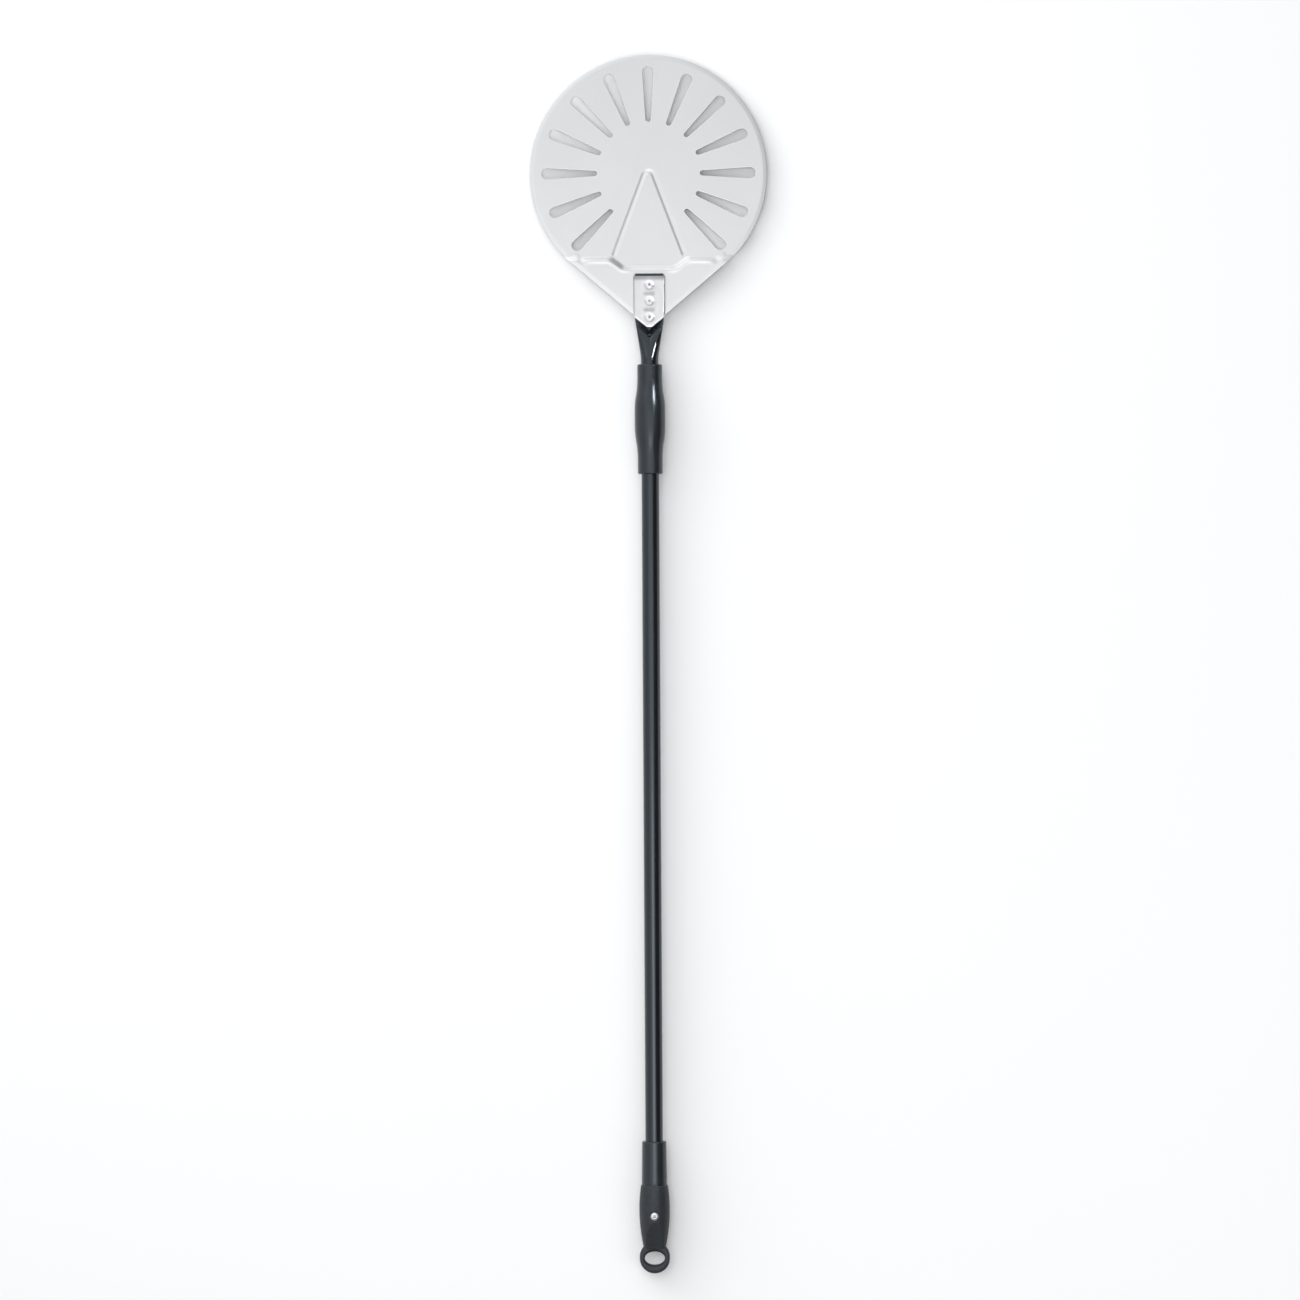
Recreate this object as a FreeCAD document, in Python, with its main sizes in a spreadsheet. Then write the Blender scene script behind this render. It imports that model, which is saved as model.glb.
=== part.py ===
import FreeCAD, Part
import math
import os

import Sketcher

# Round perforated turning peel for a pizza oven, lying flat with its blade towards +Y.
# Millimetres, +Z up.  The origin is on the floor, under the middle of the whole length.

os.makedirs("parts", exist_ok=True)
doc = FreeCAD.newDocument("pizza_peel")
Vector = FreeCAD.Vector

# ---------------------------------------------------------------- driving dimensions

DIMENSIONS = [
    ("overall_length", 1180.0, "tip of the blade to the end of the hanging ring"),
    ("blade_radius", 115.0, "radius of the round disc"),
    ("sheet", 1.5, "thickness of the blade's sheet"),
    ("rim_bevel_width", 4.0, "width of the bevel round the rim"),
    ("rim_bevel_drop", 0.6, "fall of that bevel towards the edge"),
    ("slot_inner_reach", 50.0, "disc centre to the narrow end of a slot"),
    ("slot_outer_reach", 103.5, "disc centre to the wide end of a slot"),
    ("slot_inner_radius", 2.4, "radius of the narrow end"),
    ("slot_outer_radius", 5.3, "radius of the wide end"),
    ("slot_fan", 270.0, "angle from the first slot to the last"),
    ("slot_count", 13, "number of slots in the fan"),
    ("groove_radius", 3.2, "radius of the pressed groove's section"),
    ("groove_depth", 1.2, "depth of the groove below the disc's top"),
    ("groove_tip_radius", 5.1, "bend of the groove's centreline at its tip"),
    ("groove_tip_centre", 3.4, "centre of that bend, behind the disc's centre"),
    ("groove_half_angle", 20.7, "angle of each leg off the handle's line"),
    ("groove_end", 78.0, "end of the legs, behind the disc's centre"),
    ("neck_rise", 3.0, "height of the pressed neck above the disc"),
    ("neck_ramp", 4.5, "length of the ramp up to the neck"),
    ("crease_outer", 85.0, "outer part of the crease, behind the disc's centre"),
    ("crease_middle", 94.0, "middle part of the crease"),
    ("crease_shoulder", 38.5, "half width where the outer part ends"),
    ("crease_foot", 26.0, "half width where the middle part begins"),
    ("neck_corner_half", 15.2, "half width of the blade at its neck corners"),
    ("neck_corner_reach", 137.6, "neck corners, behind the disc's centre"),
    ("neck_tip_half", 4.0, "half width of the blunt tip under the tube"),
    ("neck_tip_reach", 148.5, "blunt tip, behind the disc's centre"),
    ("neck_rivet_first", 108.5, "front rivet, behind the disc's centre"),
    ("neck_rivet_pitch", 15.7, "spacing of the three neck rivets"),
    ("rivet_hole_radius", 2.45, "hole for a 4.8 mm blind rivet"),
    ("tongue_width", 28.2, "width of the flattened tube end"),
    ("tongue_thickness", 3.0, "thickness of the flattened tube end"),
    ("tongue_front", 377.5, "front end of the tube"),
    ("tongue_back", 331.0, "where the flat end has its full width"),
    ("flare_front", 325.0, "where the flat end begins to open"),
    ("flare_front_width", 25.6, "width of the flat end there"),
    ("cover_sheet", 1.2, "thickness of the pointed cover"),
    ("cover_front", 24.2, "front edge of the cover, ahead of the middle rivet"),
    ("cover_corner", 15.2, "end of its straight sides, behind the middle rivet"),
    ("cover_tip", 25.6, "its blunt point, behind the middle rivet"),
    ("cover_tip_half", 2.4, "half width of that point"),
    ("cover_bend", 1.0, "outer radius of the cover's long edges"),
    ("tube_radius", 8.5, "outer radius of the tube"),
    ("tube_wall", 1.5, "wall of the tube"),
    ("tube_round_end", 297.0, "front end of the round length"),
    ("tube_tail", 548.0, "rear end of the tube, behind the origin"),
    ("flare_middle", 313.0, "half-flattened section of the tube"),
    ("flare_width", 21.4, "width of that section"),
    ("flare_height", 10.5, "height of that section"),
    ("running_gap", 0.05, "radial clearance of a running fit"),
    ("slide_grip_middle", 236.4, "middle of the sliding grip at rest"),
    ("slide_grip_half", 52.9, "half its length"),
    ("slide_collar_radius", 12.0, "radius of its end collars"),
    ("slide_belly_radius", 14.9, "radius of its belly"),
    ("front_collar_back", 39.6, "back of the front collar, ahead of the middle"),
    ("belly_front", 6.6, "front of the belly, ahead of the middle"),
    ("belly_back", 4.4, "back of the belly, behind the middle"),
    ("rear_collar_front", 38.4, "front of the rear collar, behind the middle"),
    ("edge_round", 0.8, "rounding of the grips' outer edges"),
    ("liner_radius", 9.7, "outer radius of the liner sleeve"),
    ("flange_radius", 10.8, "outer radius of its flange and of its ring"),
    ("flange_thickness", 1.3, "thickness of the flange and of the ring"),
    ("flange_recess", 1.6, "depth of the recess that holds each of them"),
    ("end_grip_front", 462.1, "front face of the end grip, behind the origin"),
    ("end_nose_radius", 11.7, "radius of the end grip at its front"),
    ("end_collar_radius", 12.3, "radius where its collar ends"),
    ("end_collar_back", 41.0, "length of that collar"),
    ("end_step_radius", 13.1, "radius where the textured swell begins"),
    ("end_step_back", 43.0, "where the swell begins, behind the front face"),
    ("end_belly_radius", 14.7, "radius of the end grip's swell"),
    ("end_belly_back", 66.0, "widest place, behind the front face"),
    ("end_neck_radius", 10.9, "radius of the neck before the ring"),
    ("end_neck_back", 102.0, "that neck, behind the front face"),
    ("socket_depth", 87.0, "depth of the socket for the tube"),
    ("ring_radius", 14.6, "outer radius of the hanging ring"),
    ("ring_front_centre", 111.8, "front centre of its outline"),
    ("ring_thickness", 12.0, "thickness of the hanging ring"),
    ("ring_round", 2.5, "rounding of the ring's outer edges"),
    ("ring_slope_front", 76.0, "where the flats that thin the grip to its ring begin"),
    ("hang_hole_half_width", 9.7, "half width of the oval hanging hole"),
    ("hang_hole_half_length", 6.5, "half its length along the handle"),
    ("hang_hole_back", 113.2, "its centre, behind the front face"),
    ("end_rivet_back", 71.5, "end rivet, behind the front face"),
    ("end_rivet_seat", 13.9, "height of its flat seat above the axis"),
    ("end_rivet_seat_radius", 4.5, "radius of that seat"),
    ("rivet_shank_radius", 2.4, "shank of the blind rivets"),
    ("rivet_bulb_radius", 3.3, "swollen blind end of a rivet"),
    ("rivet_bulb_length", 2.8, "length of that blind end"),
    ("rivet_head_rise", 1.7, "height of a neck rivet's domed head"),
    ("neck_head_radius", 5.2, "radius of a neck rivet's head"),
    ("end_head_radius", 4.15, "radius of the end rivet's head"),
    ("mandrel_radius", 1.25, "radius of a rivet's mandrel"),
    ("mandrel_recess", 0.7, "depth of the broken mandrel below the head's top"),
]


TOUCH = 0.01  # places closer than this are the same place
LOFT_HALF_ANGLE = 20  # half angle of the round section's arcs that flatten to its top and bottom


class Size:
    """A length, with the sheet formula that drives it."""

    def __init__(self, value, formula=None):
        self.value = float(value)
        self.formula = formula or repr(float(value))

    def __add__(self, other):
        return combine(self, "+", other)

    def __sub__(self, other):
        return combine(self, "-", other)

    def __mul__(self, other):
        return combine(self, "*", other)

    def __truediv__(self, other):
        return combine(self, "/", other)

    def __neg__(self):
        return combine(Size(0), "-", self)


OPERATIONS = {
    "+": lambda a, b: a + b,
    "-": lambda a, b: a - b,
    "*": lambda a, b: a * b,
    "/": lambda a, b: a / b,
}


def combine(first, sign, second):
    """The sum, difference, product or quotient of two sizes."""
    if not isinstance(second, Size):
        second = Size(second)
    value = OPERATIONS[sign](first.value, second.value)
    return Size(value, f"({first.formula} {sign} {second.formula})")


def make_sheet():
    """Put every driving dimension in the sheet and return them by name."""
    sheet = doc.addObject("Spreadsheet::Sheet", "Sizes")
    named = {}
    for row, (alias, value, meaning) in enumerate(DIMENSIONS, start=1):
        sheet.set(f"A{row}", meaning)
        sheet.set(f"B{row}", str(value))
        sheet.setAlias(f"B{row}", alias)
        named[alias] = Size(value, f"Sizes.{alias}")
    doc.recompute()
    return named


size = make_sheet()
ZERO = Size(0)

# The peel lies on its sliding grip, and the tube is flattened evenly about its axis
axis_height = size["slide_belly_radius"]
tongue_top = axis_height + size["tongue_thickness"] / 2
cover_top = tongue_top + size["cover_sheet"]
neck_top = axis_height - size["tongue_thickness"] / 2
neck_bottom = neck_top - size["sheet"]
disc_bottom = neck_bottom - size["neck_rise"]
disc_top = disc_bottom + size["sheet"]

# Places along the handle
blade_centre = size["overall_length"] / 2 - size["blade_radius"]
middle_rivet = blade_centre - size["neck_rivet_first"] - size["neck_rivet_pitch"]
rivet_pitch = size["neck_rivet_pitch"]


# ---------------------------------------------------------------- helpers


def make_body(name, across=ZERO, along=ZERO, up=ZERO):
    """A named sub-part whose own origin stands at the given place."""
    body = doc.addObject("PartDesign::Body", name)
    body.Label = name
    body.Placement = FreeCAD.Placement(Vector(across.value, along.value, up.value), FreeCAD.Rotation())
    body.setExpression("Placement.Base.x", across.formula)
    body.setExpression("Placement.Base.y", along.formula)
    body.setExpression("Placement.Base.z", up.formula)
    return body


def origin_feature(body, role):
    """One of the body's own origin planes or axes."""
    return next(item for item in body.Origin.OriginFeatures if item.Role == role)


def make_sketch(body, name, role, offset=ZERO, turn=0.0):
    """A sketch on an origin plane, moved along its normal and turned about it."""
    sketch = body.newObject("Sketcher::SketchObject", name)
    sketch.AttachmentSupport = [(origin_feature(body, role), "")]
    sketch.MapMode = "FlatFace"
    spin = FreeCAD.Rotation(Vector(0, 0, 1), turn)
    sketch.AttachmentOffset = FreeCAD.Placement(Vector(0, 0, offset.value), spin)
    sketch.setExpression("AttachmentOffset.Base.z", offset.formula)
    return sketch


def bind(sketch, kind, *references, to):
    """A driving dimension that follows its formula."""
    index = sketch.addConstraint(Sketcher.Constraint(kind, *references, to.value))
    sketch.setExpression(f"Constraints[{index}]", to.formula)


def pin_point(sketch, edge, end, x, y):
    """Hold a point at a place, each coordinate by its own formula."""
    for kind, axis, value in (("DistanceX", -2, x), ("DistanceY", -1, y)):
        if value is ZERO:
            sketch.addConstraint(Sketcher.Constraint("PointOnObject", edge, end, axis))
        else:
            bind(sketch, kind, edge, end, to=value)


def flat_vector(x, y):
    return Vector(x.value, y.value, 0)


def add_line(sketch, start, end):
    return sketch.addGeometry(Part.LineSegment(flat_vector(*start), flat_vector(*end)), False)


def add_arc(sketch, centre, radius, start_angle, end_angle):
    """An arc that runs anticlockwise between two angles in degrees."""
    circle = Part.Circle(flat_vector(*centre), Vector(0, 0, 1), radius.value)
    arc = Part.ArcOfCircle(circle, math.radians(start_angle), math.radians(end_angle))
    return sketch.addGeometry(arc, False)


def add_circle(sketch, centre, radius):
    """A full circle with its centre and radius held."""
    edge = sketch.addGeometry(Part.Circle(flat_vector(*centre), Vector(0, 0, 1), radius.value), False)
    pin_point(sketch, edge, 3, *centre)
    bind(sketch, "Radius", edge, to=radius)
    return edge


def meet(sketch, first, first_end, second, second_end, smooth=False):
    """Join two ends, tangent where the outline is smooth there."""
    kind = "Tangent" if smooth else "Coincident"
    sketch.addConstraint(Sketcher.Constraint(kind, first, first_end, second, second_end))


def add_polygon(sketch, points):
    """A closed outline of straight edges with every corner held."""
    count = len(points)
    edges = []
    for index in range(count):
        edges.append(add_line(sketch, points[index], points[(index + 1) % count]))
    for index in range(count):
        meet(sketch, edges[index], 2, edges[(index + 1) % count], 1)
    for edge, corner in zip(edges, points):
        pin_point(sketch, edge, 1, *corner)
    return edges


def mirror_points(points):
    """The given right-hand points followed by their left-hand twins, as one outline."""
    return points + [(-x, y) for x, y in reversed(points)]


def make_pad(body, sketch, name, length, towards_normal=True, taper=0.0):
    pad = body.newObject("PartDesign::Pad", name)
    pad.Profile = sketch
    pad.Length = length.value
    pad.setExpression("Length", length.formula)
    pad.Reversed = not towards_normal
    pad.TaperAngle = taper
    return pad


def make_pocket(body, sketch, name, length=None, against_normal=True, taper=0.0):
    """A cut of the given depth, or right through both ways when it has none."""
    pocket = body.newObject("PartDesign::Pocket", name)
    pocket.Profile = sketch
    if length is None:
        pocket.Type = "ThroughAll"
        pocket.Midplane = True
        return pocket
    pocket.Length = length.value
    pocket.setExpression("Length", length.formula)
    pocket.Reversed = not against_normal
    pocket.TaperAngle = taper
    return pocket


def make_revolution(body, sketch, name):
    """A full turn about the sketch's own vertical axis."""
    turned = body.newObject("PartDesign::Revolution", name)
    turned.Profile = sketch
    turned.ReferenceAxis = (sketch, ["V_Axis"])
    turned.Angle = 360
    return turned


def round_edges(body, feature, name, radius, chosen):
    """Round the edges of a feature that a test picks out."""
    doc.recompute()
    edges = feature.Shape.Edges
    names = [f"Edge{number}" for number, edge in enumerate(edges, start=1) if chosen(edge)]
    fillet = body.newObject("PartDesign::Fillet", name)
    fillet.Base = (feature, names)
    fillet.Radius = radius.value
    fillet.setExpression("Radius", radius.formula)
    body.Tip = fillet


# ---------------------------------------------------------------- blade


def draw_blade_outline(sketch):
    """Round disc whose tangents run in to the neck corners, then to a blunt tip."""
    corner_x = size["neck_corner_half"].value
    corner_y = -size["neck_corner_reach"].value
    radius = size["blade_radius"].value
    reach = math.hypot(corner_x, corner_y)
    swing = math.degrees(math.acos(radius / reach))
    tangent = math.degrees(math.atan2(corner_y, corner_x)) + swing
    right = (Size(radius * math.cos(math.radians(tangent))), Size(radius * math.sin(math.radians(tangent))))
    left = (-right[0], right[1])
    corner = (size["neck_corner_half"], -size["neck_corner_reach"])
    tip = (size["neck_tip_half"], -size["neck_tip_reach"])
    mirrored_corner = (-corner[0], corner[1])
    mirrored_tip = (-tip[0], tip[1])

    rim = add_arc(sketch, (ZERO, ZERO), size["blade_radius"], tangent, 180 - tangent)
    left_side = add_line(sketch, left, mirrored_corner)
    left_tip = add_line(sketch, mirrored_corner, mirrored_tip)
    blunt_end = add_line(sketch, mirrored_tip, tip)
    right_tip = add_line(sketch, tip, corner)
    right_side = add_line(sketch, corner, right)
    pin_point(sketch, rim, 3, ZERO, ZERO)
    bind(sketch, "Radius", rim, to=size["blade_radius"])
    meet(sketch, rim, 2, left_side, 1, smooth=True)
    meet(sketch, left_side, 2, left_tip, 1)
    meet(sketch, left_tip, 2, blunt_end, 1)
    meet(sketch, blunt_end, 2, right_tip, 1)
    meet(sketch, right_tip, 2, right_side, 1)
    meet(sketch, right_side, 2, rim, 1, smooth=True)
    pin_point(sketch, left_tip, 1, *mirrored_corner)
    pin_point(sketch, blunt_end, 1, *mirrored_tip)
    pin_point(sketch, right_tip, 1, *tip)
    pin_point(sketch, right_side, 1, *corner)


def draw_neck_area(sketch):
    """The raised neck: everything behind the hat-shaped crease, past the outline."""
    beyond = size["blade_radius"] * 1.2
    behind = size["neck_tip_reach"] * 1.2
    add_polygon(sketch, mirror_points([
        (beyond, -behind),
        (beyond, -size["crease_outer"]),
        (size["crease_shoulder"], -size["crease_outer"]),
        (size["crease_foot"], -size["crease_middle"]),
    ]))


def draw_groove_path(sketch, end):
    """Half of the V groove's centreline, from its tip down the left leg."""
    angle = math.radians(size["groove_half_angle"].value)
    radius = size["groove_tip_radius"]
    centre = (ZERO, -size["groove_tip_centre"])
    touch_x = -radius.value * math.cos(angle)
    touch_y = centre[1].value + radius.value * math.sin(angle)
    run = (end.value + touch_y) / math.cos(angle)
    foot = (Size(touch_x - run * math.sin(angle)), -end)
    bend = add_arc(sketch, centre, radius, 90, 180 - size["groove_half_angle"].value)
    leg = add_line(sketch, (Size(touch_x), Size(touch_y)), foot)
    pin_point(sketch, bend, 3, *centre)
    bind(sketch, "Radius", bend, to=radius)
    sketch.addConstraint(Sketcher.Constraint("PointOnObject", bend, 1, -2))
    meet(sketch, bend, 2, leg, 1, smooth=True)
    bind(sketch, "DistanceX", leg, 2, to=foot[0])
    bind(sketch, "DistanceY", leg, 2, to=foot[1])


def draw_groove_section(sketch, radius, top):
    """Round-bottomed section at the groove's tip, closed by a flat top."""
    across = size["groove_tip_radius"] - size["groove_tip_centre"]
    level = disc_top + size["groove_radius"] - size["groove_depth"]
    lift = top.value - level.value
    half = math.sqrt(radius.value ** 2 - lift ** 2)
    start = math.degrees(math.atan2(lift, -half)) % 360
    end = math.degrees(math.atan2(lift, half)) % 360
    bowl = add_arc(sketch, (across, level), radius, start, end)
    left = (across - half, top)
    right = (across + half, top)
    lid = add_line(sketch, right, left)
    pin_point(sketch, bowl, 3, across, level)
    bind(sketch, "Radius", bowl, to=radius)
    meet(sketch, bowl, 2, lid, 1)
    meet(sketch, lid, 2, bowl, 1)
    sketch.addConstraint(Sketcher.Constraint("Horizontal", lid))
    bind(sketch, "DistanceY", lid, 1, to=top)


def make_pipe(body, kind, name, section, path):
    pipe = body.newObject(kind, name)
    pipe.Profile = section
    pipe.Spine = path
    return pipe


def press_groove(body):
    """The V groove: a ridge below the sheet and the matching hollow above it."""
    full_end = size["groove_end"]
    hollow_end = full_end - size["sheet"]
    path = make_sketch(body, "groove_path", "XY_Plane", disc_top)
    draw_groove_path(path, full_end)
    section = make_sketch(body, "ridge_section", "YZ_Plane")
    draw_groove_section(section, size["groove_radius"] + size["sheet"], disc_bottom + size["sheet"] / 2)
    doc.recompute()
    ridge = make_pipe(body, "PartDesign::AdditivePipe", "ridge", section, path)
    doc.recompute()
    hollow_path = make_sketch(body, "hollow_path", "XY_Plane", disc_top)
    draw_groove_path(hollow_path, hollow_end)
    hollow_section = make_sketch(body, "hollow_section", "YZ_Plane")
    draw_groove_section(hollow_section, size["groove_radius"], disc_top + size["sheet"] / 4)
    doc.recompute()
    hollow = make_pipe(body, "PartDesign::SubtractivePipe", "hollow", hollow_section, hollow_path)
    doc.recompute()
    twin = body.newObject("PartDesign::Mirrored", "other_leg")
    twin.Originals = [ridge, hollow]
    twin.MirrorPlane = (origin_feature(body, "YZ_Plane"), [""])
    body.Tip = twin


def draw_slot(sketch):
    """One radial slot, wider at its outer end."""
    inner = size["slot_inner_reach"] + size["slot_inner_radius"]
    outer = size["slot_outer_reach"] - size["slot_outer_radius"]
    small = size["slot_inner_radius"]
    large = size["slot_outer_radius"]
    lean = math.degrees(math.asin((large.value - small.value) / (outer.value - inner.value)))
    cos_lean = math.cos(math.radians(lean))
    sin_lean = math.sin(math.radians(lean))

    def rim_point(centre, radius, side):
        return (Size(side * radius.value * cos_lean), Size(centre.value - radius.value * sin_lean))

    narrow = add_arc(sketch, (ZERO, inner), small, 180 + lean, 360 - lean)
    wide = add_arc(sketch, (ZERO, outer), large, -lean, 180 + lean)
    right = add_line(sketch, rim_point(inner, small, 1), rim_point(outer, large, 1))
    left = add_line(sketch, rim_point(outer, large, -1), rim_point(inner, small, -1))
    for arc, centre, radius in ((narrow, inner, small), (wide, outer, large)):
        pin_point(sketch, arc, 3, ZERO, centre)
        bind(sketch, "Radius", arc, to=radius)
    meet(sketch, narrow, 2, right, 1, smooth=True)
    meet(sketch, right, 2, wide, 1, smooth=True)
    meet(sketch, wide, 2, left, 1, smooth=True)
    meet(sketch, left, 2, narrow, 1, smooth=True)


def cut_slots(body):
    """A fan of radial slots that leaves out the part nearest the handle."""
    first_turn = -size["slot_fan"].value / 2
    sketch = make_sketch(body, "slot_outline", "XY_Plane", ZERO, first_turn)
    draw_slot(sketch)
    slot = make_pocket(body, sketch, "first_slot")
    doc.recompute()
    fan = body.newObject("PartDesign::PolarPattern", "slot_fan")
    fan.Originals = [slot]
    fan.Axis = (sketch, ["N_Axis"])
    fan.Angle = size["slot_fan"].value
    fan.Occurrences = int(size["slot_count"].value)
    fan.setExpression("Angle", size["slot_fan"].formula)
    fan.setExpression("Occurrences", size["slot_count"].formula)
    body.Tip = fan


def make_blade():
    """Pressed sheet: slotted disc, V groove and a raised neck."""
    body = make_body("blade", along=blade_centre)
    outline = make_sketch(body, "outline", "XY_Plane", disc_bottom)
    draw_blade_outline(outline)
    plate = make_pad(body, outline, "plate", size["sheet"])
    doc.recompute()

    edges = plate.Shape.Edges
    top = disc_top.value
    rim = [f"Edge{n}" for n, edge in enumerate(edges, start=1) if edge_at_height(edge, top)]
    bevel = body.newObject("PartDesign::Chamfer", "rim_bevel")
    bevel.Base = (plate, rim)
    bevel.ChamferType = "Two distances"
    bevel.Size = size["rim_bevel_drop"].value
    bevel.Size2 = size["rim_bevel_width"].value
    doc.recompute()

    ramp = math.degrees(math.atan(size["neck_ramp"].value / size["neck_rise"].value))
    raised = make_sketch(body, "neck_top_area", "XY_Plane", neck_top)
    draw_neck_area(raised)
    make_pad(body, raised, "neck_block", neck_top - disc_bottom, towards_normal=False, taper=ramp)
    doc.recompute()
    under = make_sketch(body, "neck_under_area", "XY_Plane", neck_bottom)
    draw_neck_area(under)
    make_pocket(body, under, "neck_underside", size["neck_rise"], taper=ramp)
    doc.recompute()

    trim = make_sketch(body, "trim_area", "XY_Plane")
    margin = size["blade_radius"] * 3
    add_polygon(trim, [(margin, -margin), (margin, margin), (-margin, margin), (-margin, -margin)])
    draw_blade_outline(trim)
    make_pocket(body, trim, "trim")
    doc.recompute()
    press_groove(body)
    doc.recompute()
    cut_slots(body)
    doc.recompute()

    holes = make_sketch(body, "rivet_holes", "XY_Plane")
    for index in range(3):
        place = -(size["neck_rivet_first"] + rivet_pitch * index)
        add_circle(holes, (ZERO, place), size["rivet_hole_radius"])
    make_pocket(body, holes, "rivet_hole_cut")
    return body


def edge_at_height(edge, height):
    """Whether a whole edge lies at one height."""
    return all(abs(vertex.Point.z - height) < TOUCH for vertex in edge.Vertexes)


# ---------------------------------------------------------------- cover over the riveted joint


def make_neck_cover():
    """Pointed cover, bent down along its sides over the flattened tube."""
    body = make_body("neck_cover", along=middle_rivet, up=neck_top)
    side = size["tongue_width"] / 2 + size["cover_sheet"]
    height = size["tongue_thickness"] + size["cover_sheet"]
    outline = make_sketch(body, "outline", "XY_Plane")
    add_polygon(outline, mirror_points([
        (size["cover_tip_half"], -size["cover_tip"]),
        (side, -size["cover_corner"]),
        (side, size["cover_front"]),
    ]))
    block = make_pad(body, outline, "block", height)
    top = height.value

    def is_long_top_edge(edge):
        along = abs(edge.Vertexes[0].Point.y - edge.Vertexes[-1].Point.y)
        sideways = abs(edge.Vertexes[0].Point.x - edge.Vertexes[-1].Point.x)
        return edge_at_height(edge, top) and along > sideways

    round_edges(body, block, "bends", size["cover_bend"], is_long_top_edge)
    doc.recompute()
    channel = make_sketch(body, "channel", "XY_Plane")
    reach = size["cover_tip"] * 2
    half = size["tongue_width"] / 2
    add_polygon(channel, [(half, -reach), (half, reach), (-half, reach), (-half, -reach)])
    make_pocket(body, channel, "channel_cut", size["tongue_thickness"], against_normal=False)
    doc.recompute()
    holes = make_sketch(body, "rivet_holes", "XY_Plane")
    for place in (rivet_pitch, ZERO, -rivet_pitch):
        add_circle(holes, (ZERO, place), size["rivet_hole_radius"])
    make_pocket(body, holes, "rivet_hole_cut")
    return body


# ---------------------------------------------------------------- tube


def draw_round_section(sketch, radius):
    """A circle in four arcs, so that it lofts to a flattened section."""
    half = LOFT_HALF_ANGLE
    starts = (-90 + half, 90 - half, 90 + half, 270 - half)
    arcs = []
    for index in range(4):
        start = starts[index]
        end = starts[(index + 1) % 4] + (360 if index == 3 else 0)
        arcs.append(add_arc(sketch, (ZERO, ZERO), radius, start, end))
    for index in range(4):
        meet(sketch, arcs[index], 2, arcs[(index + 1) % 4], 1)
    for arc in arcs:
        sketch.addConstraint(Sketcher.Constraint("Coincident", arc, 3, -1, 1))
    bind(sketch, "Radius", arcs[0], to=radius)
    flat_end = Size(radius.value * math.sin(math.radians(half)), f"({radius.formula} * sin({half} deg))")
    bind(sketch, "DistanceX", arcs[0], 2, to=flat_end)
    bind(sketch, "DistanceX", arcs[1], 2, to=-flat_end)
    bind(sketch, "DistanceX", arcs[2], 2, to=-flat_end)
    bind(sketch, "DistanceX", arcs[3], 2, to=flat_end)


def draw_flat_section(sketch, width, height):
    """A flattened tube's section: two flats joined by half circles."""
    radius = height / 2
    reach = (width - height) / 2
    right = add_arc(sketch, (reach, ZERO), radius, -90, 90)
    top = add_line(sketch, (reach, radius), (-reach, radius))
    left = add_arc(sketch, (-reach, ZERO), radius, 90, 270)
    bottom = add_line(sketch, (-reach, -radius), (reach, -radius))
    meet(sketch, right, 2, top, 1, smooth=True)
    meet(sketch, top, 2, left, 1, smooth=True)
    meet(sketch, left, 2, bottom, 1, smooth=True)
    meet(sketch, bottom, 2, right, 1, smooth=True)
    pin_point(sketch, right, 3, reach, ZERO)
    pin_point(sketch, left, 3, -reach, ZERO)
    bind(sketch, "Radius", right, to=radius)


def make_loft(body, kind, name, sections):
    loft = body.newObject(kind, name)
    loft.Profile = sections[0]
    loft.Sections = sections[1:]
    loft.Ruled = False
    return loft


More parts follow.
